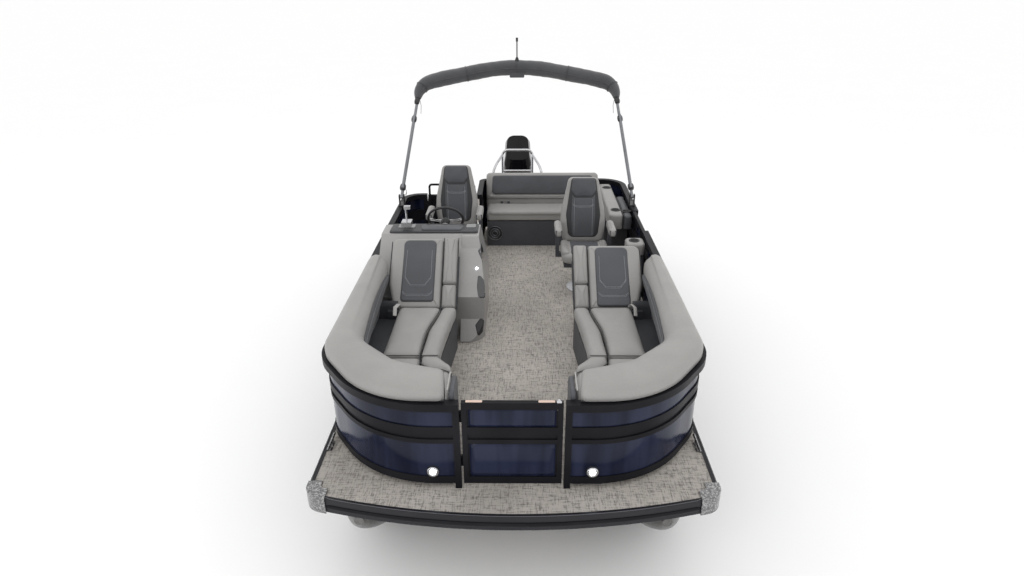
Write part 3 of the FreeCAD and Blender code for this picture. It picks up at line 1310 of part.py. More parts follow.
# ---------------------------------------------------------------- the boat
def make_all():
    make_deck()
    make_cross_members()
    make_tubes()
    make_fences()
    make_gates()
    cushions = [make_lounge("starboard", -1, S.starboard_back_top), make_lounge("port", 1, S.port_back_top)]
    shape_node("bow_front_cushions", Part.makeCompound(cushions))
    make_helm()
    pedestals = [make_chair("captain", captain_x, captain_y),
                 make_chair("passenger", passenger_x, S.passenger_y)]
    keep("chair_pedestals", group("pedestals", *pedestals))
    make_bench()
    make_top()
    make_tow_bar()
    make_ladder()
    make_fittings()
    make_pod()
    make_clamp()
    make_swivel()
    make_leg()
    make_cowl()
    make_propeller()


def place_all():
    """Moves every node from the deck's frame to the boat's: on the ground, midway along its length."""
    doc.recompute()
    boxes = [obj.Shape.BoundBox for obj in NODES.values()]
    low, high = min(b.YMin for b in boxes), max(b.YMax for b in boxes)
    move = Vector(0, -(low + high) / 2, -min(b.ZMin for b in boxes))
    for obj in NODES.values():
        obj.Placement = Placement(move, Rotation()) * obj.Placement
    doc.recompute()
    return move


def write_all():
    """Checks every object and sub-part, then writes one STEP file for each node."""
    for obj in doc.Objects:
        if "Invalid" in obj.State or "Error" in obj.State:
            raise RuntimeError(f"{obj.Label} failed: {obj.State}")
    os.makedirs("parts", exist_ok=True)
    for label, obj in NODES.items():
        shape = obj.Shape
        if shape.isNull() or not shape.isValid() or not shape.Solids:
            raise RuntimeError(f"{label} has no valid solid")
        shape.exportStep(f"parts/{label}.step")


make_all()
OFFSET = place_all()
write_all()
print("nodes", len(NODES), "offset", tuple(round(c, 3) for c in OFFSET))
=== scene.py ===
"""Looks of the pontoon boat: soft seating, woven deck, glossy fence panels, helm, folded top and motor.

Every measure is in metres. Shapes are drawn in the deck's frame (x to port, y aft from the bow's edge,
z up from the walking face) and moved to the boat's frame when their mesh is made.
"""
import json
import logging
import math
from dataclasses import dataclass
from enum import Enum
from typing import Optional, Sequence, Union

import bmesh
import bpy
import numpy as np
from mathutils import Matrix, Vector
from mathutils.bvhtree import BVHTree

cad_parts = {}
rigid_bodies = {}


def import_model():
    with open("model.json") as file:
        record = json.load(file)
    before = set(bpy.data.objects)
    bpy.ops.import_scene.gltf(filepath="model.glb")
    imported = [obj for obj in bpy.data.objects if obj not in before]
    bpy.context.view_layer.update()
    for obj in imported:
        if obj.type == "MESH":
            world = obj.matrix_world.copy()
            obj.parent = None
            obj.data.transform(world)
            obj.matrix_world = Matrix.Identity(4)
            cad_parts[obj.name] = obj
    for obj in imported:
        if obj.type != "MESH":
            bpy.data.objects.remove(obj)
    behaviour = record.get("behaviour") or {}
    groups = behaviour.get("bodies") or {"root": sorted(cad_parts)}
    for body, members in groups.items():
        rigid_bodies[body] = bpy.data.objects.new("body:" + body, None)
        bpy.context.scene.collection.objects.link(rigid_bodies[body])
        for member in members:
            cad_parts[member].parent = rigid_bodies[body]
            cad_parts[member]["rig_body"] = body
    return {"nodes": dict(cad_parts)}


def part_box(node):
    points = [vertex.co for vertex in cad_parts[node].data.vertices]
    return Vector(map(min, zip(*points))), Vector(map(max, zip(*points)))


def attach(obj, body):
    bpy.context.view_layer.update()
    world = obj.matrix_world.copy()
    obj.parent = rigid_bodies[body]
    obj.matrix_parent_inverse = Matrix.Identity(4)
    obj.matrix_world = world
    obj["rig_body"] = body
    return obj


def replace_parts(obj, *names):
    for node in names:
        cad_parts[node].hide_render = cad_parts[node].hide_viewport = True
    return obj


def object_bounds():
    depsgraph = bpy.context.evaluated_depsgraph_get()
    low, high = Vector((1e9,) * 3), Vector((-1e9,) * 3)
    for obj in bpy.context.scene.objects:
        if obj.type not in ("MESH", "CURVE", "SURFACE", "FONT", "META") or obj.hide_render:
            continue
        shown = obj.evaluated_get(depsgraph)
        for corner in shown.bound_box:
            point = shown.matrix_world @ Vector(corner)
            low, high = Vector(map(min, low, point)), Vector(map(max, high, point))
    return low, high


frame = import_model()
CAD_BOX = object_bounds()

LOG = logging.getLogger("pontoon")
NODES = frame["nodes"]
DECK = np.array([0.0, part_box("deck_edge_trim")[0].y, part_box("deck")[1].z])
Rgb = tuple[float, float, float]
Point = Sequence[float]


class Side(Enum):
    """A side of the boat: the sign of its x."""

    STARBOARD = -1
    PORT = 1

    @property
    def word(self) -> str:
        """The side's name as the nodes spell it."""
        return self.name.lower()


# ---------------------------------------------------------------- shader graph
class Term:
    """One socket of a shader graph, with arithmetic: each operator adds its Math node."""

    def __init__(self, graph: "Graph", socket: bpy.types.NodeSocket) -> None:
        """Keeps the graph and the socket."""
        self.graph, self.socket = graph, socket

    def _math(self, operation: str, *values: "Number") -> "Term":
        """Adds one Math node on the given values."""
        return self.graph.make("ShaderNodeMath", {"operation": operation}, *values)

    def __add__(self, other: "Number") -> "Term":
        """self + other."""
        return self._math("ADD", self, other)

    def __sub__(self, other: "Number") -> "Term":
        """self - other."""
        return self._math("SUBTRACT", self, other)

    def __rsub__(self, other: "Number") -> "Term":
        """other - self."""
        return self._math("SUBTRACT", other, self)

    def __mul__(self, other: "Number") -> "Term":
        """self * other."""
        return self._math("MULTIPLY", self, other)

    __radd__ = __add__
    __rmul__ = __mul__

    def between(self, low: float, high: float) -> "Term":
        """0 below low, 1 above high, smooth in between."""
        settings = {"interpolation_type": "SMOOTHSTEP"}
        return self.graph.make("ShaderNodeMapRange", settings, self, low, high)


Number = Union[Term, float]


class Graph:
    """The node tree of one material."""

    def __init__(self, name: str) -> None:
        """Makes an empty material with a Principled shader on its output."""
        self.material = bpy.data.materials.new(name)
        self.material.use_nodes = True
        self.tree = self.material.node_tree
        self.shader = self.tree.nodes["Principled BSDF"]
        self.coords = self.make("ShaderNodeTexCoord", {}, out="Object")

    def make(self, kind: str, settings: dict, *values: object, out: Union[int, str] = 0,
             **named: object) -> Term:
        """Adds a node.

        Args:
            kind: the node's type.
            settings: its properties, set before its sockets.
            values: links or numbers for its first sockets, in order.
            out: the output wanted.
            named: links or numbers for sockets by name, spaces written as underscores.

        Returns:
            The wanted output.
        """
        node = self.tree.nodes.new(kind)
        for key, value in settings.items():
            setattr(node, key, value)
        places = list(enumerate(values)) + [(key.replace("_", " "), v) for key, v in named.items()]
        for place, value in places:
            if value is None:
                continue
            if isinstance(value, Term):
                self.tree.links.new(value.socket, node.inputs[place])
            else:
                node.inputs[place].default_value = value
        return Term(self, node.outputs[out])

    def stretched(self, scale: Point) -> Term:
        """Object coordinates scaled along each axis, so that grain can run one way."""
        return self.make("ShaderNodeMapping", {}, Vector=self.coords, Scale=tuple(scale))

    def noise(self, scale: float, detail: float = 2.0, where: Optional[Term] = None,
              rough: float = 0.5) -> Term:
        """Noise from 0 to 1 with that many features to the metre."""
        return self.make("ShaderNodeTexNoise", {}, Vector=where or self.coords, Scale=scale, Detail=detail,
                         Roughness=rough)

    def cells(self, scale: float, feature: str = "F1") -> Term:
        """Distance to cell points, for pebbled grain."""
        return self.make("ShaderNodeTexVoronoi", {"feature": feature}, Vector=self.coords, Scale=scale)

    def waves(self, axis: str, scale: float, distortion: float) -> Term:
        """Fine bands across one axis, a little uneven."""
        return self.make("ShaderNodeTexWave", {"bands_direction": axis}, Vector=self.coords, Scale=scale,
                         Distortion=distortion)

    def mix(self, share: Number, first: object, second: object) -> Term:
        """A colour between two colours."""
        colours = [c if isinstance(c, Term) else (*c, 1.0) for c in (first, second)]
        settings = {"data_type": "RGBA", "clamp_factor": True}
        return self.make("ShaderNodeMix", settings, share, *[None] * 5, *colours, out=2)

    def bump(self, height: Term, distance: float, strength: float = 1.0) -> Term:
        """A normal from a height in metres."""
        return self.make("ShaderNodeBump", {}, Height=height, Distance=distance, Strength=strength,
                         out="Normal")

    def feed(self, **sockets: object) -> None:
        """Sets or links the shader's sockets by name."""
        for name, value in sockets.items():
            place = self.shader.inputs[name.replace("_", " ")]
            if isinstance(value, Term):
                self.tree.links.new(value.socket, place)
            else:
                place.default_value = (*value, 1.0) if isinstance(value, tuple) and len(value) == 3 else value


# ---------------------------------------------------------------- finishes
MADE: dict[str, bpy.types.Material] = {}


@dataclass(frozen=True)
class Finish:
    """A plain finish: two tones of one colour, uneven gloss and a fine relief."""

    name: str
    colour: Rgb
    shade: Rgb
    roughness: float = 0.5
    metallic: float = 0.0
    grain: float = 400.0
    depth: float = 0.0002
    patch: float = 3.0
    coat: float = 0.0
    spread: float = 0.08
    shine: float = 0.5

    def tone(self, g: Graph) -> Term:
        """The colour: soft patches between the two tones, with finer mottling."""
        share = g.noise(self.patch, 4.0) * 0.7 + g.noise(self.grain * 0.2, 2.0) * 0.3
        return g.mix(share.between(0.3, 0.7), self.colour, self.shade)

    def relief(self, g: Graph) -> Term:
        """The height of the fine relief."""
        return g.noise(self.grain, 3.0)

    def gloss(self, g: Graph) -> Term:
        """The roughness, a little uneven from handling."""
        return g.noise(self.patch * 4, 3.0) * self.spread + (self.roughness - self.spread / 2)

    def finish_off(self, g: Graph) -> None:
        """Constants that only some finishes have."""

    def material(self) -> bpy.types.Material:
        """The finish as a material, made once."""
        if self.name in MADE:
            return MADE[self.name]
        g = Graph(f"{self.name}_finish")
        MADE[self.name] = g.material
        g.feed(Base_Color=self.tone(g), Roughness=self.gloss(g), Metallic=self.metallic,
               Specular_IOR_Level=self.shine,
               Normal=g.bump(self.relief(g), self.depth))
        if self.coat:
            g.feed(Coat_Weight=self.coat, Coat_Roughness=0.03)
        self.finish_off(g)
        return g.material


@dataclass(frozen=True)
class Vinyl(Finish):
    """Marine vinyl: pebbled grain, faint stretch creases and a soft sheen."""

    def relief(self, g: Graph) -> Term:
        """Small pebbles with shallow creases across them."""
        pebbles = g.cells(self.grain) * 0.6 + g.noise(self.grain * 1.7, 2.0) * 0.3
        creases = g.noise(22.0, 3.0, g.stretched((1.0, 2.2, 1.6))) * 2.2
        return pebbles + creases

    def finish_off(self, g: Graph) -> None:
        """A faint cloth-like sheen at the edges."""
        g.feed(Sheen_Weight=0.10, Sheen_Roughness=0.5)


@dataclass(frozen=True)
class WovenDeck(Finish):
    """Woven vinyl flooring: crossing threads of uneven colour."""

    thread: Rgb = (0.17, 0.157, 0.143)

    def _threads(self, g: Graph, wide: float, long: float) -> tuple[Term, Term]:
        """Streaks along the boat and across it."""
        along = g.noise(1.0, 2.0, g.stretched((wide, long, 1.0)))
        across = g.noise(1.0, 2.0, g.stretched((long, wide, 1.0)))
        return along, across

    def tone(self, g: Graph) -> Term:
        """Light ground with darker and paler threads both ways."""
        wide_a, wide_b = self._threads(g, 105.0, 11.0)
        fine_a, fine_b = self._threads(g, 300.0, 34.0)
        base = g.mix(g.noise(2.0, 3.0).between(0.3, 0.7), self.colour, self.shade)
        mesh = (wide_a * wide_b + fine_a * fine_b * 0.8) * 2.0
        light = g.mix(mesh.between(0.52, 1.02), self.thread, base)
        fine = (fine_a + fine_b) * 0.5
        return g.mix(fine.between(0.56, 0.70) * 0.55, light, self.colour)

    def relief(self, g: Graph) -> Term:
        """Threads rising over each other: the mean of two fine waves."""
        return g.waves("X", 90.0, 0.6) * 0.5 + g.waves("Y", 90.0, 0.6) * 0.5


@dataclass(frozen=True)
class Brushed(Finish):
    """Worked metal with fine streaks along one axis and dull patches."""

    streak: tuple[float, float, float] = (700.0, 12.0, 700.0)

    def tone(self, g: Graph) -> Term:
        """Streaks over soft patches."""
        streaks = g.noise(1.0, 3.0, g.stretched(self.streak))
        share = streaks * 0.5 + g.noise(self.patch, 5.0) * 0.5
        return g.mix(share.between(0.32, 0.68), self.colour, self.shade)

    def relief(self, g: Graph) -> Term:
        """The streaks' height."""
        return g.noise(1.0, 2.0, g.stretched(self.streak))


@dataclass(frozen=True)
class Cast(Finish):
    """Bright casting with a mottled skin."""

    def tone(self, g: Graph) -> Term:
        """Dark pits between bright islands."""
        pits = g.cells(110.0, "SMOOTH_F1").between(0.1, 0.8) * 0.45 + g.noise(60.0, 6.0) * 0.55
        return g.mix(pits.between(0.35, 0.75), self.colour, self.shade)

    def relief(self, g: Graph) -> Term:
        """Coarse and fine unevenness."""
        return g.noise(45.0, 5.0) * 2.0 + g.noise(300.0, 2.0) * 0.4


@dataclass(frozen=True)
class Gloss(Finish):
    """Glossy coated sheet: deep colour with upright reflection streaks painted into it, and a slow ripple
    that breaks up its reflections.
    """

    ripple: float = 0.0015

    def tone(self, g: Graph) -> Term:
        """Painted reflection: soft upright bands of lighter and darker colour that stand in for lamps
        reflected in the gloss.
        """
        bands = g.noise(1.0, 3.0, g.stretched((5.0, 5.0, 0.6)))
        return g.mix(bands.between(0.38, 0.62), self.colour, self.shade)

    def relief(self, g: Graph) -> Term:
        """Slow waves with an orange-peel skin."""
        return g.noise(4.0, 1.0, g.stretched((1.0, 1.0, 0.4))) * (self.ripple / self.depth) \
            + g.noise(self.grain, 2.0) * 0.15


@dataclass(frozen=True)
class Cloth(Finish):
    """Woven canvas: fine threads both ways, faded in patches."""

    def tone(self, g: Graph) -> Term:
        """Faded patches with fine thread mottling."""
        share = g.noise(self.patch, 5.0) * 0.6 + g.noise(520.0, 2.0) * 0.4
        return g.mix(share.between(0.35, 0.65), self.colour, self.shade)

    def relief(self, g: Graph) -> Term:
        """Crossing threads and soft folds."""
        x, z = g.waves("X", 260.0, 0.5), g.waves("Z", 260.0, 0.5)
        return x * 0.25 + z * 0.25 + g.noise(9.0, 4.0) * 6.0

    def finish_off(self, g: Graph) -> None:
        """A dusty sheen."""
        g.feed(Sheen_Weight=0.3, Sheen_Roughness=0.6)


@dataclass(frozen=True)
class Glow(Finish):
    """A lit lens."""

    power: float = 6.0

    def finish_off(self, g: Graph) -> None:
        """Adds the light, uneven over the facets of the lens."""
        lens = g.cells(90.0)
        g.feed(Emission_Color=g.mix(lens.between(0.1, 0.8), (1.0, 1.0, 1.0), (0.75, 0.85, 1.0)),
               Emission_Strength=self.power)


LIGHT = Vinyl("light_vinyl", (0.315, 0.307, 0.296), (0.275, 0.268, 0.259), 0.50, grain=520.0, depth=0.00035)
WEDGE = Vinyl("light_vinyl_trim", (0.40, 0.392, 0.38), (0.36, 0.352, 0.34), 0.45, grain=620.0, depth=0.0002)
DARK = Vinyl("dark_vinyl", (0.070, 0.073, 0.082), (0.052, 0.054, 0.061), 0.52, grain=520.0, depth=0.00035)
PIPING = Vinyl("dark_piping", (0.022, 0.023, 0.026), (0.015, 0.016, 0.018), 0.50, grain=900.0, depth=0.0002)
THREAD = Finish("pale_thread", (0.36, 0.37, 0.39), (0.24, 0.25, 0.27), 0.7, grain=1500.0)
FLOOR = WovenDeck("woven_floor", (0.53, 0.493, 0.452), (0.43, 0.400, 0.366), 0.78, depth=0.0009, spread=0.1)
# The lighter of the two blues is the painted reflection streak in the fence panels.
NAVY = Gloss("blue_panel", (0.0045, 0.0065, 0.020), (0.018, 0.023, 0.050), 0.17, grain=300.0, depth=0.0004,
             coat=0.05, spread=0.05, shine=0.18)
RAIL = Finish("dark_rail", (0.008, 0.008, 0.010), (0.014, 0.014, 0.017), 0.38, grain=700.0, depth=0.0001,
              shine=0.09)
# Painted highlight: a light grey for the bead along the black trim's top edge, where light catches it.
PAINTED_HIGHLIGHT = Finish("rail_highlight", (0.10, 0.10, 0.11), (0.07, 0.07, 0.078), 0.3, 0.3, grain=700.0, depth=0.0001)
TRIM = Finish("edge_trim", (0.018, 0.018, 0.022), (0.012, 0.012, 0.015), 0.36, grain=600.0, depth=0.0001,
              shine=0.25)
BLACK = Finish("black_plastic", (0.012, 0.012, 0.014), (0.020, 0.020, 0.022), 0.42, grain=900.0, depth=0.0003)
RUBBER = Finish("black_rubber", (0.016, 0.016, 0.017), (0.026, 0.026, 0.027), 0.68, grain=500.0, depth=0.0004)
MILL = Brushed("mill_aluminium", (0.20, 0.197, 0.194), (0.115, 0.113, 0.111), 0.32, 1.0, depth=0.00015,
               patch=2.0, streak=(90.0, 4.0, 90.0), spread=0.2)
CASTING = Cast("casting", (0.16, 0.16, 0.165), (0.42, 0.415, 0.41), 0.24, 0.9, depth=0.0006, spread=0.2)
STEEL = Brushed("stainless", (0.66, 0.66, 0.67), (0.50, 0.50, 0.52), 0.24, 1.0, depth=0.00005, spread=0.1)
ANODISED = Brushed("anodised", (0.24, 0.245, 0.26), (0.15, 0.155, 0.165), 0.35, 0.85, depth=0.00005,
                   streak=(300.0, 40.0, 40.0))
CANVAS = Cloth("canvas", (0.056, 0.057, 0.063), (0.042, 0.043, 0.048), 0.85, depth=0.0011, patch=2.5)
WEBBING = Cloth("webbing", (0.014, 0.014, 0.015), (0.024, 0.024, 0.025), 0.8, depth=0.0005, patch=8.0)
BASE = Finish("moulded_base", (0.066, 0.069, 0.078), (0.048, 0.050, 0.058), 0.52, grain=380.0, depth=0.0005)
SHELL = Finish("console_shell", (0.315, 0.308, 0.302), (0.275, 0.269, 0.264), 0.36, grain=300.0, depth=0.0001,
               coat=0.25)
DASH = Finish("dash_panel", (0.034, 0.035, 0.039), (0.024, 0.025, 0.028), 0.45, grain=700.0, depth=0.0003)
GLASS = Finish("dark_glass", (0.006, 0.007, 0.009), (0.010, 0.011, 0.014), 0.08, grain=60.0, depth=0.00005,
               coat=1.0)
COWL = Gloss("motor_black", (0.003, 0.003, 0.004), (0.006, 0.006, 0.007), 0.12, grain=260.0, depth=0.0003,
             coat=0.03, shine=0.14, ripple=0.0004, spread=0.04)
LEG = Gloss("motor_leg_paint", (0.010, 0.010, 0.011), (0.016, 0.016, 0.017), 0.26, grain=260.0, depth=0.0003,
            coat=0.1, ripple=0.0004)
BRACKET = Cast("motor_bracket", (0.03, 0.03, 0.033), (0.06, 0.06, 0.064), 0.45, 0.4, depth=0.0003)
ENGINE = Cast("engine", (0.20, 0.20, 0.205), (0.34, 0.34, 0.345), 0.5, 0.8, depth=0.0006)
BLADE = Brushed("propeller_metal", (0.60, 0.60, 0.61), (0.46, 0.46, 0.47), 0.22, 1.0, depth=0.00005)
LAMP = Glow("lamp", (0.9, 0.93, 1.0), (0.8, 0.85, 0.95), 0.1, power=14.0)
HOUSING = Finish("lamp_housing", (0.20, 0.21, 0.23), (0.10, 0.105, 0.115), 0.2, 0.8, grain=300.0)
TAPE = Finish("pale_tape", (0.72, 0.55, 0.46), (0.64, 0.49, 0.41), 0.55, grain=300.0)

NODE_FINISHES: dict[str, Finish] = {
    "deck": FLOOR, "deck_edge_trim": TRIM, "corner_castings": CASTING, "cleats": CASTING,
    "cross_members": MILL, "starboard_tube": MILL, "port_tube": MILL, "motor_pod": MILL,
    "starboard_fence_frame": RAIL,
    "port_fence_frame": RAIL, "starboard_fence_panels": NAVY, "port_fence_panels": NAVY, "bow_gate": RAIL,
    "side_gate": RAIL, "stern_gate": RAIL, "docking_lights": HOUSING, "starboard_lounge_base": BASE,
    "port_lounge_base": BASE, "stern_bench_base": BASE, "helm_console": SHELL, "helm_dash": DASH,
    "throttle_control": STEEL, "captain_chair_frame": BASE, "passenger_chair_frame": BASE,
    "chair_pedestals": STEEL, "top_mounts": BLACK, "top_frame": ANODISED, "anchor_light": BLACK,
    "tow_bar": STEEL, "boarding_ladder": STEEL, "ladder_brackets": CASTING, "motor_clamp": BRACKET,
    "swivel_bracket": BRACKET, "motor_leg": LEG, "motor_cowl": COWL, "engine_block": ENGINE,
    "propeller": BLADE,
}


# ---------------------------------------------------------------- shapes
def rounded_path(points: Sequence[Point], radii: Sequence[float], count: int,
                 closed: bool = False) -> np.ndarray:
    """Evenly spaced points along straight runs joined by arcs.

    Each arc starts its radius times tan(turn / 2) before its corner, no further than its run allows, and
    its points are start + r (sin a) ahead + r (1 - cos a) aside, for a from 0 to the turn; the whole is
    then resampled by length.

    Args:
        points: the corners.
        radii: one bend radius to each corner.
        count: how many points are wanted.
        closed: whether the last corner runs back to the first.

    Returns:
        An array of count points.
    """
    corners = np.array(points, float)
    total = len(corners)
    pieces = []
    for i, (corner, radius) in enumerate(zip(corners, radii)):
        if radius <= 0 or (not closed and i in (0, total - 1)):
            pieces.append(corner[None])
            continue
        before, after = (i - 1) % total, (i + 1) % total
        back, ahead = corners[before] - corner, corners[after] - corner
        one, two = np.linalg.norm(back), np.linalg.norm(ahead)
        back, ahead = back / one, ahead / two
        one *= 0.98 if radii[before] <= 0 else 0.49
        two *= 0.98 if radii[after] <= 0 else 0.49
        turn = math.pi - math.acos(np.clip(back @ ahead, -1, 1))
        if turn < 1e-4:
            pieces.append(corner[None])
            continue
        reach = min(radius * math.tan(turn / 2), one, two)
        size = reach / math.tan(turn / 2)
        aside = ahead - (ahead @ -back) * -back
        aside /= np.linalg.norm(aside)
        angle = np.linspace(0, turn, 13)[:, None]
        pieces.append(corner + back * reach + size * (np.sin(angle) * -back + (1 - np.cos(angle)) * aside))
    line = np.vstack(pieces + ([pieces[0][:1]] if closed else []))
    return resampled(line, count + 1)[:-1] if closed else resampled(line, count)


def resampled(line: np.ndarray, count: int) -> np.ndarray:
    """The same line with its points spaced evenly by length."""
    steps = np.linalg.norm(np.diff(line, axis=0), axis=1)
    at = np.concatenate([[0.0], np.cumsum(steps)])
    wanted = np.linspace(0, at[-1], count)
    return np.stack([np.interp(wanted, at, line[:, k]) for k in range(line.shape[1])], axis=1)


def smooth_loop(points: Sequence[Point], count: int) -> np.ndarray:
    """A closed Catmull-Rom curve through the points: each span is the cubic of its four nearest points."""
    p = np.array(points, float)
    t = np.linspace(0, 1, 9)[:-1][:, None, None]
    a, b, c, d = np.roll(p, 1, 0), p, np.roll(p, -1, 0), np.roll(p, -2, 0)
    spans = 0.5 * (2 * b + (c - a) * t + (2 * a - 5 * b + 4 * c - d) * t ** 2
                   + (3 * b - a - 3 * c + d) * t ** 3)
    line = spans.transpose(1, 0, 2).reshape(-1, p.shape[1])
    return resampled(np.vstack([line, line[:1]]), count + 1)[:-1]


def tangents(path: np.ndarray, closed: bool = False) -> np.ndarray:
    """Unit directions along a path, from its neighbours' difference."""
    if closed:
        along = np.roll(path, -1, 0) - np.roll(path, 1, 0)
    else:
        along = np.gradient(path, axis=0)
    return along / np.linalg.norm(along, axis=1, keepdims=True)


def facing_points(outer: np.ndarray, inner: np.ndarray) -> np.ndarray:
    """For each outer point, the inner line's point that lies squarest to the outer line, smoothed along."""
    dense = resampled(inner, 900)
    gap = dense[None] - outer[:, None]
    skew = np.abs((gap * tangents(outer)[:, None]).sum(axis=2)) + 0.02 * np.linalg.norm(gap, axis=2)
    pick = np.maximum.accumulate(skew.argmin(axis=1)).astype(float)
    padded = np.concatenate([np.full(6, pick[0]), pick, np.full(6, pick[-1])])
    even = np.convolve(padded, np.ones(13) / 13, "valid")
    at = np.arange(900)
    return np.stack([np.interp(even, at, dense[:, k]) for k in range(2)], axis=1)


def swept(path: np.ndarray, radius: Union[float, np.ndarray], sides: int = 10, closed: bool = False,
          flat: float = 1.0, up: Point = (0.0, 0.0, 1.0)) -> np.ndarray:
    """A round or oval section carried along a path: centre + radius (cos side + sin flat normal).

    Args:
        path: the points of the centre line.
        radius: one radius, or one to each point.
        sides: points round the section.
        closed: whether the path is a loop.
        flat: the section's height as a share of its width.
        up: the direction the section's height leans to.

    Returns:
        The grid of points, one row to each path point.
    """
    along = tangents(path, closed)
    side = np.cross(along, np.array(up, float))
    weak = np.linalg.norm(side, axis=1, keepdims=True) < 0.05
    side = np.where(weak, np.cross(along, np.array([1.0, 0.0, 0.0])), side)
    side /= np.linalg.norm(side, axis=1, keepdims=True)
    normal = np.cross(side, along)
    angle = np.linspace(0, 2 * math.pi, sides, endpoint=False)
    size = np.broadcast_to(np.asarray(radius, float), (len(path),))[:, None, None]
    c, s = np.cos(angle)[None, :, None], np.sin(angle)[None, :, None]
    return path[:, None] + size * (c * side[:, None] + flat * s * normal[:, None])


def lathe(profile: Sequence[Point], centre: Point, axis: Point, count: int = 40) -> np.ndarray:
    """A profile of (radius, height) turned about an axis through the centre.

    Returns:
        The grid of points: centre + height axis + radius (cos u + sin v).
    """
    w = np.array(axis, float) / np.linalg.norm(axis)
    u = np.cross(w, [0.0, 0.0, 1.0] if abs(w[2]) < 0.9 else [1.0, 0.0, 0.0])
    u /= np.linalg.norm(u)
    v = np.cross(w, u)
    angle = np.linspace(0, 2 * math.pi, count, endpoint=False)[None, :, None]
    rh = np.array(profile, float)
    return np.array(centre, float) + rh[:, 1, None, None] * w + rh[:, 0, None, None] * (
        np.cos(angle) * u + np.sin(angle) * v)


@dataclass(frozen=True)
class Plane:
    """A working plane in the deck's frame: where local (0, 0, 0) is, and its three directions."""

    origin: Point
    right: Point = (1.0, 0.0, 0.0)
    up: Point = (0.0, 1.0, 0.0)
    out: Point = (0.0, 0.0, 1.0)

    def place(self, local: np.ndarray) -> np.ndarray:
        """Local points moved to the deck's frame."""
        turn = np.array([self.right, self.up, self.out], float)
        return np.array(self.origin, float) + np.asarray(local, float) @ turn


def loaf(outline: np.ndarray, low: float, high: float, edge: float, crown: float = 0.01,
         foot: Optional[float] = None, pull: float = 0.0) -> np.ndarray:
    """A cushion: its outline carried up a rounded side and over a crowned top to a pole.

    The side's rings step inward by edge (1 - cos a) while they rise by edge sin a; the top's rings shrink
    to the middle and rise by crown (1 - s^2), s from 1 at the rim to 0 at the pole; the sides pull in
    between the corners by pull times their distance from the nearest corner.

    Args:
        outline: closed plan outline, (x, y) points.
        low: height of the underside.
        high: height of the rim of the top.
        edge: radius of the top's edge.
        crown: how far the middle of the top stands above its rim.
        foot: radius of the lower edge.
        pull: how far the middle of the sides is drawn in.

    Returns:
        The grid of rings from the under pole to the top pole.
    """
    foot = edge * 0.5 if foot is None else foot
    along = tangents(outline, True)
    inward = np.stack([-along[:, 1], along[:, 0]], axis=1)
    middle = outline.mean(axis=0)
    if ((middle - outline) * inward).sum() < 0:
        inward = -inward
    if pull:
        bend = np.linalg.norm(np.roll(along, -3, 0) - np.roll(along, 3, 0), axis=1)
        near = np.convolve(np.concatenate([bend] * 3), np.ones(15) / 15, "same")[len(bend):2 * len(bend)]
        outline = outline + inward * (pull * (1 - np.clip(near / (near.max() + 1e-9), 0, 1)))[:, None]
    a = np.linspace(0, math.pi / 2, 6)
    rise = [(foot * (1 - math.sin(t)), low + foot * (1 - math.cos(t))) for t in a]
    turn = [(edge * (1 - math.cos(t)), high - edge + edge * math.sin(t)) for t in a]
    rings = [at_height(outline + inward * d, z) for d, z in rise + turn]
    share = np.linspace(1, 0, 10)[1:]
    top, under = rings[-1], rings[0]
    over = [at_height(middle + (top[:, :2] - middle) * s, high + crown * (1 - s * s)) for s in share]
    below = [at_height(middle + (under[:, :2] - middle) * s, low) for s in share[::-1]]
    return np.array(below + rings + over)


def shade_smooth(mesh: bpy.types.Mesh) -> None:
    """Shades all of a mesh's faces smooth."""
    mesh.polygons.foreach_set("use_smooth", [True] * len(mesh.polygons))


def piece(name: str, grids: Union[np.ndarray, Sequence[np.ndarray]], finish: Finish, body: str = "boat",
          wrap: tuple[bool, bool] = (False, True)) -> bpy.types.Object:
    """Makes one object from grids of points in the deck's frame.

    Neighbouring rows and columns are joined by four-sided faces, the second direction closing on itself
    where wrap says so; an open first direction of a closed tube is ended by a fan to the ring's middle.

    Args:
        name: the piece's name.
        grids: one grid (rows, columns, 3) or several.
        finish: its finish.
        body: the body it rides on.
        wrap: whether rows and columns close on themselves.

    Returns:
        The object.
    """
    if isinstance(grids, np.ndarray):
        grids = [grids]
    points, quads, fans, start = [], [], [], 0
    for grid in grids:
        rows, columns = grid.shape[:2]
        index = np.arange(rows * columns).reshape(rows, columns) + start
        below = index if wrap[0] else index[:-1]
        above = np.roll(index, -1, 0) if wrap[0] else index[1:]
        if wrap[1]:
            faces = [below, np.roll(below, -1, 1), np.roll(above, -1, 1), above]
        else:
            faces = [below[:, :-1], below[:, 1:], above[:, 1:], above[:, :-1]]
        quads.append(np.stack([f.ravel() for f in faces], axis=1))
        points.append(grid.reshape(-1, 3))
        start += rows * columns
        if wrap[1] and not wrap[0]:
            for ring in (0, -1):
                points.append(grid[ring].mean(axis=0)[None])
                around = index[ring]
                fans.append(np.stack([around, np.roll(around, -1), np.full(columns, start)], axis=1))
                start += 1
    mesh = bpy.data.meshes.new(name)
    faces = [list(f) for f in np.vstack(quads).tolist()]
    faces += [list(f) for fan in fans for f in fan.tolist()]
    mesh.from_pydata((np.vstack(points) + DECK).tolist(), [], faces)
    tidy = bmesh.new()
    tidy.from_mesh(mesh)
    bmesh.ops.remove_doubles(tidy, verts=tidy.verts, dist=1e-6)
    bmesh.ops.recalc_face_normals(tidy, faces=tidy.faces)
    tidy.to_mesh(mesh)
    tidy.free()
    shade_smooth(mesh)
    made = bpy.data.objects.new(name, mesh)
    bpy.context.scene.collection.objects.link(made)
    made.data.materials.append(finish.material())
    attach(made, body)
    LOG.info("%s: %d faces on %s", name, len(mesh.polygons), body)
    return made


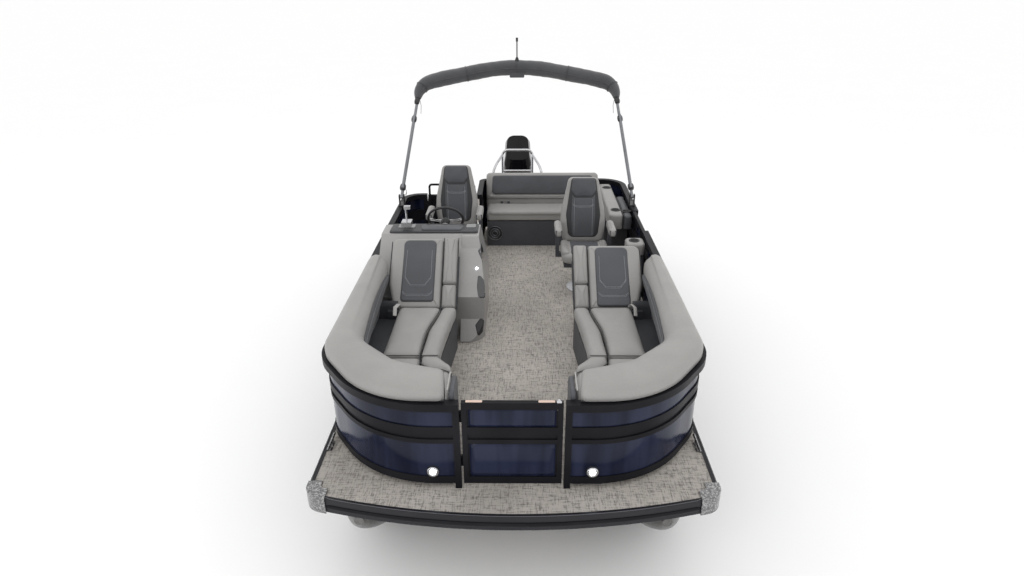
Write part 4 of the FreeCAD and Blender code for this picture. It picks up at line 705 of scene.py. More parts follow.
def swell(made: bpy.types.Object, voxel: float = 0.0125, pressure: float = 4.0, cap: float = 0.006) -> None:
    """Puffs a cushion up by a short cloth simulation, and keeps each point within cap of where it was."""
    scene = bpy.context.scene
    world_parent, body = made.parent, made["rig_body"]
    made.parent = None
    remesh = made.modifiers.new("even", "REMESH")
    remesh.mode, remesh.voxel_size = "VOXEL", voxel
    apply_modifiers(made)
    start = np.empty(len(made.data.vertices) * 3, np.float32)
    made.data.vertices.foreach_get("co", start)
    cloth = made.modifiers.new("puff", "CLOTH")
    cloth.settings.quality = 4
    cloth.settings.use_pressure = True
    cloth.settings.uniform_pressure_force = pressure
    cloth.settings.effector_weights.gravity = 0.0
    cloth.point_cache.frame_start, cloth.point_cache.frame_end = 1, 20
    for number in range(1, 21):
        scene.frame_set(number)
    depsgraph = bpy.context.evaluated_depsgraph_get()
    moved = np.empty_like(start)
    made.evaluated_get(depsgraph).data.vertices.foreach_get("co", moved)
    made.modifiers.remove(cloth)
    scene.frame_set(1)
    start, moved = start.reshape(-1, 3), moved.reshape(-1, 3)
    step = np.nan_to_num(moved - start)
    size = np.linalg.norm(step, axis=1, keepdims=True)
    step *= np.minimum(1.0, cap / np.maximum(size, 1e-9))
    made.data.vertices.foreach_set("co", (start + step).astype(np.float32).ravel())
    smooth = made.modifiers.new("settle", "SMOOTH")
    smooth.factor, smooth.iterations = 0.5, 6
    finer = made.modifiers.new("finer", "SUBSURF")
    finer.levels = finer.render_levels = 1
    apply_modifiers(made)
    shade_smooth(made.data)
    made.parent = world_parent
    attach(made, body)


def apply_modifiers(made: bpy.types.Object) -> None:
    """Replaces the object's mesh by what its modifiers make of it."""
    depsgraph = bpy.context.evaluated_depsgraph_get()
    mesh = bpy.data.meshes.new_from_object(made.evaluated_get(depsgraph), depsgraph=depsgraph)
    made.modifiers.clear()
    made.data = mesh


def laid_on(path: np.ndarray, surface: bpy.types.Object, toward: Point, lift: float) -> np.ndarray:
    """A path moved along a direction until it lies on a surface, then lifted off it.

    Args:
        path: points in the deck's frame, outside the surface.
        surface: the object it is laid on.
        toward: the direction of travel.
        lift: how far its points stay off the surface.

    Returns:
        The laid points; a point that meets nothing stays on the line through its neighbours.
    """
    mesh = surface.data
    tree = BVHTree.FromPolygons([v.co for v in mesh.vertices], [tuple(p.vertices) for p in mesh.polygons])
    ray = Vector(toward).normalized()
    hits = [tree.ray_cast(Vector(p) - ray * 0.15, ray, 0.5)[0] for p in (path + DECK)]
    good = np.array([h is not None for h in hits])
    if not good.any():
        return path
    found = np.array([list(h) if h is not None else [np.nan] * 3 for h in hits])
    at = np.arange(len(path))
    filled = np.stack([np.interp(at, at[good], found[good, k]) for k in range(3)], axis=1)
    return filled - DECK - np.array(list(ray)) * lift


def stitched(path: np.ndarray, radius: float = 0.0016, pitch: float = 0.012) -> np.ndarray:
    """A row of stitches: a thread whose radius rises and falls as |sin| along its length."""
    length = np.linalg.norm(np.diff(path, axis=0), axis=1).sum()
    count = max(int(length / pitch) * 6, 24)
    line = resampled(path, count)
    wave = np.abs(np.sin(np.arange(count) * math.pi / 6))
    return swept(line, radius * (0.35 + 0.65 * np.sqrt(wave)), 6)


def sewn(rows: Sequence[np.ndarray], plane: Plane, cushion: bpy.types.Object) -> list[np.ndarray]:
    """Rows of stitches drawn in a plane and laid on a cushion's face."""
    inward = -np.array(plane.out)
    return [stitched(laid_on(plane.place(at_height(row, 0.03)), cushion, inward, 0.0006)) for row in rows]


def padded(name: str, grids: np.ndarray, finish: Finish, fill: float, body: str = "boat") -> bpy.types.Object:
    """A piece with padding in it; fill is not used."""
    made = piece(name, grids, finish, body)
    return made


def mirrored(points: np.ndarray, side: Side) -> np.ndarray:
    """Points drawn for starboard, moved to their own side."""
    return points * np.array([-side.value, 1.0, 1.0])


def at_height(line: np.ndarray, height: float) -> np.ndarray:
    """A plan line or an (x, y) outline with one height given to all its points."""
    return np.column_stack([line, np.full(len(line), height)])


def rectangle(x: Point, y: Point, radius: Union[float, Sequence[float]], count: int) -> np.ndarray:
    """The closed outline of a rectangle, its corners rounded by one radius or by four."""
    radii = [radius] * 4 if isinstance(radius, float) else radius
    return rounded_path([(x[0], y[0]), (x[1], y[0]), (x[1], y[1]), (x[0], y[1])], radii, count, True)


def lofted(profile: np.ndarray, x: np.ndarray) -> np.ndarray:
    """A (y, z) profile carried along x and drawn in at both ends.

    Its size about its middle is 0.90 + 0.10 sqrt(d / 0.03), where d is the distance to the nearer end, up
    to 0.03.

    Args:
        profile: the closed section.
        x: the stations along x.

    Returns:
        The grid of points, one row to each station.
    """
    ends = np.sqrt(np.clip(np.minimum(x - x[0], x[-1] - x) / 0.03, 0, 1))
    centre = profile.mean(axis=0)
    shape = centre + (profile[None] - centre) * (0.90 + 0.10 * ends)[:, None, None]
    stations = np.broadcast_to(x[:, None, None], (len(x), len(profile), 1))
    return np.concatenate([stations, shape], axis=2)


def roll(name: str, x: Point, at: Point, radius: float, fade: float, sides: int, body: str,
         flat: float = 1.0) -> None:
    """A padded roll across the boat, its radius falling off as a square root over its last stretch.

    Args:
        name: the piece's name.
        x: where it starts and ends.
        at: its y and z.
        radius: its radius in the middle.
        fade: the length over which it falls off.
        sides: points round its section.
        body: the body it rides on.
        flat: its height as a share of its width.
    """
    run = np.linspace(*x, 80)
    line = np.column_stack([run, np.full(80, at[0]), np.full(80, at[1])])
    taper = radius * np.minimum(1, np.sqrt(np.minimum(run - run[0], run[-1] - run) / fade + 0.05))
    padded(name, swept(line, taper, sides, flat=flat), LIGHT, 0.9, body)


def upright_sheet(along: int, run: np.ndarray, other: Union[float, np.ndarray],
                  heights: np.ndarray) -> np.ndarray:
    """An upright grid of points: its run along x (0) or y (1), the other of the two, and its heights."""
    grid = np.empty((len(heights), len(run), 3))
    grid[..., along], grid[..., 1 - along], grid[..., 2] = run[None], other, heights[:, None]
    return grid


def thicken(made: bpy.types.Object, thickness: float, offset: float = -1.0) -> None:
    """Gives an open sheet its thickness."""
    thick = made.modifiers.new("thick", "SOLIDIFY")
    thick.thickness, thick.offset = thickness, offset


def dress(node: str, finish: Finish) -> None:
    """Gives a CAD node its finish."""
    NODES[node].data.materials.clear()
    NODES[node].data.materials.append(finish.material())
    LOG.info("%s: %s", node, finish.name)


# ---------------------------------------------------------------- deck, fence and hull
@dataclass
class Deck:
    """Fine parts of the deck's edge, the hull and the fence."""

    bow_radius: float = 4.6
    half: float = 1.295
    aft: float = 6.400
    tube_centre: float = 0.965
    tube_radius: float = 0.3175
    keel_height: float = 0.012

    def edge_line(self, grow: float, count: int) -> np.ndarray:
        """The deck's outer edge from aft starboard round the bow to aft port, moved outward by grow."""
        x = np.linspace(-(self.half - 0.16), self.half - 0.16, 60)
        arc = self.bow_radius - np.sqrt(self.bow_radius ** 2 - x ** 2)
        corner = float(self.bow_radius - math.sqrt(self.bow_radius ** 2 - self.half ** 2))
        bow = np.column_stack([x, arc - grow])
        side = self.half + grow
        turn = np.array([[-side, corner + 0.16], [-side + 0.012, corner + 0.075],
                         [-side + 0.05, corner + 0.018]])
        stern = self.aft - 0.25
        line = np.vstack([[[-side, stern]], turn, bow, (turn * [-1, 1])[::-1], [[side, stern]]])
        return resampled(line, count)

    def rub_strip(self) -> None:
        """A rounded strip along the middle of the edge trim, and a bead along its top whose light grey is a
        painted highlight.
        """
        piece("rub_strip", swept(at_height(self.edge_line(0.002, 260), -0.055), 0.007, 8, flat=2.4), RAIL)
        piece("trim_bead", swept(at_height(self.edge_line(-0.006, 260), 0.0045), 0.0035, 8), PAINTED_HIGHLIGHT)

    def tube_seams(self) -> None:
        """Weld beads round the two tubes."""
        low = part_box("starboard_tube")[0].z - DECK[2]
        radius = self.tube_radius
        centre = low + self.keel_height + radius
        angle = np.linspace(0, 2 * math.pi, 64, endpoint=False)
        rings = []
        for x in (-self.tube_centre, self.tube_centre):
            for y in (1.02, 2.30, 3.60, 4.90, 6.20):
                ring = np.column_stack([x + radius * np.cos(angle), np.full(64, y),
                                        centre + radius * np.sin(angle)])
                rings.append(swept(ring, 0.004, 6, closed=True, up=(0.0, 1.0, 0.0)))
        piece("tube_welds", rings, MILL, wrap=(True, True))

    def gate_fittings(self) -> None:
        """Two pale tapes on the bow gate's top rail and its latch."""
        top = float(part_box("bow_gate")[1].z) - DECK[2]
        strips = [loaf(rectangle((x - 0.05, x + 0.05), (0.262, 0.283), 0.004, 40), top - 0.001, top + 0.004,
                       0.002, 0.001) for x in (-0.228, 0.205)]
        piece("gate_bumpers", strips, TAPE, "bow_gate")
        latch = rectangle((0.262, 0.296), (0.256, 0.285), 0.006, 40)
        piece("gate_latch", loaf(latch, top - 0.05, top + 0.008, 0.004), STEEL, "bow_gate")

    def docking_lenses(self) -> None:
        """The lit lens and bezel on each docking light's housing."""
        lenses, bezels = [], []
        for x in (-0.495, 0.495):
            at = (x, 0.2475, 0.135)
            lenses.append(lathe([(0.020, -0.001), (0.019, 0.003), (0.012, 0.006), (0.001, 0.007)], at,
                                (0, -1, 0), 32))
            bezels.append(lathe([(0.037, -0.004), (0.037, 0.002), (0.033, 0.005), (0.024, 0.004),
                                 (0.021, -0.001)], at, (0, -1, 0), 40))
        piece("docking_lenses", lenses, LAMP)
        piece("docking_bezels", bezels, STEEL)

    def gate_faces(self) -> None:
        """Glossy sheets, bowed by a half sine, set into the frames of the bow gate and the side gate."""
        bow = 0.0012 * np.sin(np.linspace(0, math.pi, 14))
        for name, span, face, along in (("bow", (-0.262, 0.262), 0.2605, 0),
                                        ("side", (3.252, 3.758), 1.257, 1)):
            for part, rows in (("lower", (0.096, 0.343)), ("upper", (0.468, 0.592))):
                grid = upright_sheet(along, np.linspace(*span, 14), face - bow, np.linspace(*rows, 8))
                made = piece(f"{name}_gate_{part}_sheet", grid, NAVY, f"{name}_gate", wrap=(False, False))
                thicken(made, 0.003)

    def make(self) -> None:
        """Builds everything of the deck's edge."""
        self.rub_strip()
        self.tube_seams()
        self.gate_fittings()
        self.docking_lenses()
        self.gate_faces()


# ---------------------------------------------------------------- bow lounges
@dataclass
class Lounge:
    """One side's bow lounge: seat, front cushion, leaning backrest, arm rolls and coaming bolster."""

    side: Side
    back_top: float
    lean: float = math.radians(50)
    foot: tuple[float, float] = (2.022, 0.390)
    thick: float = 0.110
    seat_low: float = 0.312
    seat_high: float = 0.412
    start: float = 0.0
    rise: float = 0.030
    insert_out: float = 0.975
    insert_in: float = 0.690

    def back_plane(self) -> Plane:
        """The backrest's front face: right outboard, up along the slope, out toward the bow."""
        s, c = math.sin(self.lean), math.cos(self.lean)
        return Plane((0.0, *self.foot), (float(self.side.value), 0.0, 0.0), (0.0, s, c), (0.0, -c, s))

    @property
    def slope(self) -> float:
        """The backrest's length along its slope."""
        return (self.back_top - self.foot[1]) / math.cos(self.lean) + self.rise

    def name(self, part: str) -> str:
        """A piece's name."""
        return f"{self.side.word}_{part}"

    def pad(self, part: str, corners: Sequence[Point], radii: Sequence[float], low: float, high: float,
            edge: float, crown: float, finish: Finish = LIGHT, plane: Optional[Plane] = None,
            count: int = 96) -> bpy.types.Object:
        """A cushion swelled from its plan corners (starboard), or a firm one from its outline in a plane."""
        grid = loaf(rounded_path(corners, radii, count, True), low, high, edge, crown)
        made = piece(self.name(part), plane.place(grid) if plane else mirrored(grid, self.side), finish)
        if plane is None:
            swell(made)
        return made

    def cord(self, part: str, line: np.ndarray, radius: float = 0.0034, body: str = "boat",
             plane: Optional[Plane] = None) -> None:
        """A dark welt along a line drawn for starboard, or drawn in a plane."""
        path = plane.place(line) if plane else mirrored(line, self.side)
        piece(self.name(part), swept(path, radius, 8), PIPING, body)

    def upright(self, x: float) -> Plane:
        """An upright plane along the boat at a distance from the centre line, facing inboard."""
        side = float(self.side.value)
        return Plane((x * side, 0.0, 0.0), (0.0, 1.0, 0.0), (0.0, 0.0, 1.0), (-side, 0.0, 0.0))

    def seam(self) -> np.ndarray:
        """The curved line between the main seat pad and the inboard pad, aft to forward."""
        return rounded_path([(-0.612, 2.006), (-0.632, 1.86), (-0.682, 1.60), (-0.690, 1.20)],
                            [0, 0.6, 0.6, 0], 24)

    def seats(self) -> None:
        """The lifting seat's two pads and the fixed front cushion's two pads, with dark welts between."""
        lid = f"{self.side.word}_seat_lid"
        seam, gap = self.seam(), 0.004
        main = np.vstack([seam - [gap, 0], [(-0.974, 1.203)], [(-0.974, 2.006)]])
        inner = np.vstack([seam[::-1] + [gap, 0], [(-0.488, 2.006)], [(-0.553, 1.203)]])
        for part, outline in (("seat_main", main), ("seat_inboard", inner)):
            even = resampled(np.vstack([outline, outline[:1]]), 121)[:-1]
            around = np.concatenate([even[-2:], even, even[:2]])
            soft = np.column_stack([np.convolve(around[:, k], np.ones(5) / 5, "valid") for k in range(2)])
            grid = mirrored(loaf(soft, self.seat_low, self.seat_high - 0.004, 0.022, 0.012), self.side)
            made = piece(self.name(part), grid, LIGHT, lid)
            swell(made)
            if part == "seat_main":
                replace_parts(made, f"{self.side.word}_lounge_seat")
        self.cord("seat_welt", at_height(seam, self.seat_high), body=lid)
        low, high = self.seat_low, self.seat_high
        front = self.pad("front_main", [(-0.684, 1.188), (-0.672, 1.075), (-0.60, 0.998), (-0.60, 0.69),
                                        (-0.93, 0.69), (-1.036, 0.78), (-1.036, 1.188)],
                         [0.01, 0.06, 0.04, 0.02, 0.05, 0.05, 0.02], low, high - 0.008, 0.02, 0.008)
        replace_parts(front, *(["bow_front_cushions"] if self.side is Side.STARBOARD else []))
        self.pad("front_inboard", [(-0.676, 1.188), (-0.666, 1.09), (-0.60, 1.020), (-0.47, 1.000),
                                   (-0.432, 0.97), (-0.446, 1.06), (-0.552, 1.188)],
                 [0.01, 0.07, 0.06, 0.03, 0.02, 0.04, 0.01], low, high + 0.006, 0.026, 0.012)
        self.pad("nose_pad", [(-0.590, 1.006), (-0.445, 0.985), (-0.434, 0.90), (-0.434, 0.60),
                              (-0.590, 0.60)], [0.01, 0.04, 0.05, 0.02, 0.02], low, high + 0.002, 0.03, 0.01)
        bend = rounded_path([(-0.690, 1.195), (-0.672, 1.085), (-0.605, 1.012), (-0.50, 0.995),
                             (-0.440, 0.955)], [0, 0.08, 0.08, 0.05, 0], 40)
        self.cord("front_welt", at_height(bend, high + 0.003))
        cross = np.array([(-1.03, 1.196, high - 0.002), (-0.555, 1.196, high)])
        self.cord("cross_welt", resampled(cross, 20), 0.003)

    def backrest(self) -> None:
        """The leaning backrest: light body, outboard wing, dark insert with stitched chevrons, arm rolls."""
        plane, top = self.back_plane(), self.slope
        body = self.pad("backrest_body",
                        [(0.632, 0.0), (1.030, 0.0), (1.084, 0.22), (1.084, top), (0.632, top)],
                        [0.02, 0.06, 0.14, 0.06, 0.03], -self.thick + 0.004, -0.006, 0.034, 0.014,
                        plane=plane, count=120)
        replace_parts(body, f"{self.side.word}_lounge_backrest")
        edge = rounded_path([(1.034, 0.03, -0.030), (1.087, 0.22, -0.030), (1.087, top - 0.03, -0.030)],
                            [0, 0.14, 0], 40)
        self.cord("backrest_welt", edge, 0.0042, plane=plane)
        a, b = self.insert_in, self.insert_out
        low, high = self.start + 0.012, top - 0.03
        insert = self.pad("backrest_insert", [(a, low), (b, low), (b, high), (a, high)],
                          [0.025, 0.03, 0.045, 0.045], -0.04, 0.012, 0.018, 0.006, DARK, plane)
        self.stitches(plane, insert, a, b, top)
        rolls = ((0.225, top - 0.005), (0.0, 0.218))
        for number, (low, high) in enumerate(rolls, start=1):
            self.pad(f"arm_roll_{number}", [(0.506, low), (0.622, low), (0.622, high), (0.506, high)],
                     [0.022] * 4, -self.thick + 0.01, 0.012, 0.034, 0.012, plane=plane)
        for number, u in enumerate((0.500, 0.627), start=1):
            self.cord(f"arm_welt_{number}", np.linspace((u, 0.0, -0.018), (u, top, -0.018), 24), 0.004,
                      plane=plane)

    def stitches(self, plane: Plane, insert: bpy.types.Object, a: float, b: float, top: float) -> None:
        """Double rows of pale stitches low on the insert: a chevron, a level pair, and two uprights."""
        wide = b - a
        rows = []
        for step in (0.0, 0.012):
            bar_z, knee = 0.285 * top + step, 0.40 * top + step
            line = [(a + 0.12 * wide, 0.80 * top), (a + 0.11 * wide, knee), (a + 0.29 * wide, bar_z),
                    (b - 0.29 * wide, bar_z), (b - 0.11 * wide, knee), (b - 0.12 * wide, 0.80 * top)]
            rows.append(rounded_path(line, [0, 0.03, 0.02, 0.02, 0.03, 0], 120))
            level = 0.155 * top + step
            rows.append(rounded_path([(a + 0.05 * wide, level + 0.03), (a + 0.16 * wide, level),
                                      (b - 0.16 * wide, level), (b - 0.05 * wide, level + 0.03)],
                                     [0, 0.04, 0.04, 0], 80))
        piece(self.name("insert_stitches"), sewn(rows, plane, insert), THREAD)

    def bolster(self) -> None:
        """The coaming pad: one cross section carried between the fence's line and the pad's inner line.

        At each place the section's points stand at share * width + offset from the fence's line toward the
        inner line; the last rings at both ends shrink to a point on a quarter circle.
        """
        count = 150
        outer = rounded_path([(-0.402, 0.249), (-0.872, 0.249), (-1.271, 0.798), (-1.271, 2.376)],
                             [0, 0.745, 0.400, 0], count)
        inner = rounded_path([(-0.402, 0.545), (-0.740, 0.660), (-1.040, 0.960), (-1.110, 2.376)],
                             [0, 0.300, 0.300, 0], count)
        inner = facing_points(outer, inner)
        width = np.linalg.norm(inner - outer, axis=1)
        toward = (inner - outer) / width[:, None]
        section = smooth_loop([
            (0, 0.004, 0.655), (0, 0.000, 0.682), (0, 0.014, 0.716), (0, 0.050, 0.737), (0.35, 0.010, 0.742),
            (0.62, 0.0, 0.736), (1, -0.052, 0.717), (1, -0.014, 0.684), (1, -0.001, 0.640),
            (1, -0.002, 0.585), (1, -0.012, 0.540), (1, -0.036, 0.524), (0.5, 0.03, 0.524),
            (0, 0.052, 0.526), (0, 0.042, 0.560), (0, 0.041, 0.640), (0, 0.030, 0.651)], 64)
        reach = section[None, :, 0] * width[:, None] + section[None, :, 1]
        plan = outer[:, None] + toward[:, None] * reach[..., None]
        upper = np.clip((section[None, :, 2] - 0.7) * 25, 0, 1)
        ripple = 0.0016 * np.sin(np.linspace(0, 60, count))[:, None] * upper
        grid = np.concatenate([plan, (section[None, :, 2] + ripple)[..., None]], axis=2)
        centre = grid.mean(axis=1, keepdims=True)
        steps = np.arange(count)
        ends = np.minimum(np.minimum(steps, count - 1 - steps) / 3.0, 1.0)
        shrink = 0.86 + 0.14 * np.sqrt(1 - (1 - ends) ** 2)
        grid = centre + (grid - centre) * shrink[:, None, None]
        made = padded(self.name("coaming"), mirrored(grid, self.side), LIGHT, 0.85)
        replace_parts(made, f"{self.side.word}_bolster")
        self.bolster_details(outer, inner, toward)

    def bolster_details(self, outer: np.ndarray, inner: np.ndarray, toward: np.ndarray) -> None:
        """The welts, the dark lower pad inside, the end panel by the gate, the pocket's panel and its cup."""
        self.cord("coaming_welt", at_height(outer + toward * 0.012, 0.655), 0.005)
        run = slice(58, 147)
        share = np.linspace(0, 1, 89)
        belly = np.sin(math.pi * np.clip(share, 0, 1)) ** 0.6
        tall = 0.020 + 0.115 * belly
        line = inner[run] + toward[run] * 0.004
        angle = np.linspace(0, 2 * math.pi, 24, endpoint=False)
        grid = np.empty((89, 24, 3))
        grid[..., :2] = line[:, None] + toward[run][:, None] * (0.012 * np.cos(angle))[None, :, None]
        grid[..., 2] = (0.535 + tall / 2)[:, None] + (tall / 2)[:, None] * np.sin(angle)[None]
        padded(self.name("coaming_inner_pad"), mirrored(grid, self.side), DARK, 0.6)
        wide = np.column_stack([line[6:-6] + toward[run][6:-6] * 0.013, (0.535 + tall[6:-6] * 0.8)])
        piece(self.name("coaming_stitches"), stitched(mirrored(wide, self.side), 0.0014), THREAD)
        end = self.upright(0.362)
        outline = rectangle((0.292, 0.548), (0.06, 0.690), [0.01, 0.03, 0.09, 0.03], 72)
        grid = end.place(loaf(outline, -0.016, 0.016, 0.014, 0.003))
        padded(self.name("gate_side_panel"), grid, DARK, 0.4)
        welt = rounded_path([(0.300, 0.704), (0.560, 0.704), (0.560, 0.200)], [0, 0.09, 0], 50)
        piece(self.name("gate_side_welt"), swept(end.place(at_height(welt, -0.024)), 0.0055, 10), WEDGE)
        self.pocket()

    def pocket(self) -> None:
        """The store between seat and side: a padded teardrop panel below the wing and a cup ring, with a
        black sheet as painted shade in the gap behind the seat.
        """
        wall = self.upright(1.172)
        outline = rounded_path([(1.62, 0.300), (2.00, 0.300), (2.22, 0.520), (2.05, 0.520), (1.80, 0.480)],
                               [0.05, 0.04, 0.05, 0.12, 0.20], 90, True)
        padded(self.name("pocket_pad"), wall.place(loaf(outline, 0.0, 0.022, 0.011, 0.005)), DARK, 0.5)
        inside = outline.mean(axis=0) + (outline - outline.mean(axis=0)) * 0.80
        ring = wall.place(at_height(inside, 0.026))
        piece(self.name("pocket_stitches"), stitched(ring, 0.0014), THREAD)
        # Painted shade: a black upright sheet along the fence's inside darkens the gap behind the seat.
        shade_sheet = upright_sheet(1, np.linspace(1.02, 2.02, 40), -1.2255, np.linspace(0.285, 0.51, 10))
        bulge = 0.004 * np.sin(np.linspace(0, math.pi, 12))
        end = upright_sheet(0, np.linspace(-0.985, -1.222, 12), 2.045 + bulge, np.linspace(0.002, 0.440, 8))
        for part, grid, finish in (("pocket_liner", shade_sheet, BLACK), ("pocket_end", end, BASE)):
            made = piece(self.name(part), mirrored(grid, self.side), finish, wrap=(False, False))
            thicken(made, 0.004, 0.0)
        cup = lathe([(0.050, 0.0), (0.050, 0.006), (0.040, 0.007), (0.038, 0.003), (0.037, -0.004),
                     (0.004, -0.006)], (1.105 * self.side.value, 1.24, 0.286), (0, 0, 1))
        piece(self.name("pocket_cup"), cup, GLASS)

    def strap(self) -> None:
        """The short webbing pull at the seat's outboard back corner."""
        lid = f"{self.side.word}_seat_lid"
        line = rounded_path([(-0.955, 2.000, 0.405), (-0.965, 1.965, 0.450), (-0.985, 1.900, 0.452),
                             (-0.982, 1.840, 0.404)], [0, 0.03, 0.03, 0], 40)
        strap = swept(mirrored(line, self.side), 0.016, 12, flat=0.22, up=(0.3, 0, 1))
        piece(self.name("lid_strap"), strap, WEDGE, lid)

    def make(self) -> None:
        """Builds the whole lounge."""
        self.seats()
        self.backrest()
        self.bolster()
        self.strap()


# ---------------------------------------------------------------- helm
@dataclass
class Helm:
    """The console's fittings and the steering wheel."""

    centre: tuple[float, float, float] = (-0.670, 3.080, 0.810)
    tilt: float = math.radians(32)
    radius: float = 0.165
    grip: float = 0.013

    def wheel_plane(self) -> Plane:
        """The wheel's plane: right to port, up its face, out toward the helmsman."""
        c, s = math.cos(self.tilt), math.sin(self.tilt)
        return Plane(self.centre, (1.0, 0.0, 0.0), (0.0, -s, c), (0.0, c, s))

    def wheel(self) -> None:
        """A black grip rim with thumb swellings, paired bright spokes, a hub and its column."""
        plane = self.wheel_plane()
        angle = np.linspace(0, 2 * math.pi, 120, endpoint=False)
        ring = plane.place(self.radius * np.column_stack([np.cos(angle), np.sin(angle), 0 * angle]))
        grip = self.grip * (0.96 + 0.06 * np.cos(4 * angle) + 0.025 * np.cos(40 * angle))
        rim = piece("wheel_rim", swept(ring, grip, 16, closed=True, up=plane.out), BLACK, "helm_wheel",
                    wrap=(True, True))
        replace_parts(rim, "steering_wheel")
        spokes = []
        for turn in (0.0, math.pi, -math.pi / 2):
            for lift in (-0.15, 0.15):
                ends = ((0.030, turn + lift * 2, -0.022), (self.radius - 0.004, turn + lift * 0.5, -0.002))
                start, end = (np.array([size * math.cos(at), size * math.sin(at), out])
                              for size, at, out in ends)
                t = np.linspace(0, 1, 14)[:, None]
                line = start * (1 - t) + end * t + np.array([0, 0, -0.006]) * np.sin(math.pi * t)
                wide = 0.0065 + 0.0025 * np.cos(np.linspace(0, 2 * math.pi, 14))
                spokes.append(swept(plane.place(line), wide, 10, flat=0.5, up=plane.out))
        piece("wheel_spokes", spokes, STEEL, "helm_wheel")
        hub = [(0.036, -0.075), (0.040, -0.05), (0.043, -0.03), (0.041, -0.018), (0.030, -0.010),
               (0.012, -0.007), (0.002, -0.006)]
        piece("wheel_hub", lathe(hub, self.centre, plane.out), BLACK, "helm_wheel")
        cap = [(0.026, -0.010), (0.027, -0.006), (0.022, -0.003), (0.001, -0.002)]
        piece("wheel_cap", lathe(cap, self.centre, plane.out), STEEL, "helm_wheel")

    def patch(self, name: str, corners: Sequence[Point], radius: float, finish: Finish,
              proud: float = 0.003) -> None:
        """A plate laid on the console's rounded inboard corner.

        Its rings shrink to the middle; each point is carried aft and outboard until it meets the shell,
        then lifted.
        """
        outline = rounded_path(corners, [radius] * len(corners), 64, True)
        middle = outline.mean(axis=0)
        shares = (1.0, 0.985, 0.94, 0.8, 0.6, 0.4, 0.2, 0.02)
        lifts = (-0.004, proud * 0.6) + (proud,) * 6
        shell, toward = NODES["helm_console"], (-0.55, 0.75, -0.36)
        rings = [laid_on(middle + (outline - middle) * share, shell, toward, lift)
                 for share, lift in zip(shares, lifts)]
        piece(name, np.array(rings), finish)

    def console(self) -> None:
        """The glazed vent, the teardrop recess, the grille and the courtesy light of the console."""
        self.patch("console_vent", [(-0.340, 2.600, 0.675), (-0.317, 2.736, 0.700), (-0.297, 2.790, 0.600),
                                    (-0.288, 2.680, 0.545), (-0.300, 2.515, 0.592)], 0.03, GLASS)
        self.patch("console_recess", [(-0.330, 2.426, 0.536), (-0.285, 2.380, 0.480), (-0.264, 2.330, 0.420),
                                      (-0.263, 2.262, 0.362), (-0.325, 2.235, 0.378),
                                      (-0.337, 2.312, 0.446)], 0.02, GLASS)
        self.patch("console_speaker", [(-0.352, 2.200, 0.130), (-0.302, 2.235, 0.185), (-0.280, 2.235, 0.165),
                                       (-0.283, 2.200, 0.065), (-0.335, 2.145, 0.030)], 0.02, BLACK, 0.005)
        light = lathe([(0.011, -0.004), (0.011, 0.003), (0.008, 0.005), (0.001, 0.006)],
                      (-0.343, 2.458, 0.562), (0.2, -0.62, 0.78), 24)
        piece("console_courtesy_light", light, LAMP)

    def dash(self) -> None:
        """The low dark dash: a rounded tray behind the console's edge, a padded brow and two screens."""
        profile = smooth_loop([(2.752, 0.787), (2.753, 0.797), (2.766, 0.803), (2.84, 0.802), (2.93, 0.799),
                               (2.976, 0.797), (2.983, 0.792), (2.980, 0.787), (2.87, 0.785)], 40)
        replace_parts(piece("dash_tray", lofted(profile, np.linspace(-1.152, -0.348, 60)), DASH), "helm_dash")
        outline = rounded_path([(-0.860, 2.775), (-0.500, 2.775), (-0.480, 2.90), (-0.880, 2.90)], [0.03] * 4,
                               80, True)
        padded("dash_brow", loaf(outline, 0.798, 0.816, 0.012, 0.004), DARK, 0.8)
        screens = [loaf(rectangle(x, (2.85, 2.95), 0.008, 40), 0.797, 0.805, 0.003, 0.0)
                   for x in ((-1.09, -0.93), (-0.46, -0.37))]
        piece("dash_screens", screens, GLASS)

    def make(self) -> None:
        """Builds the helm."""
        self.wheel()
        self.console()
        self.dash()


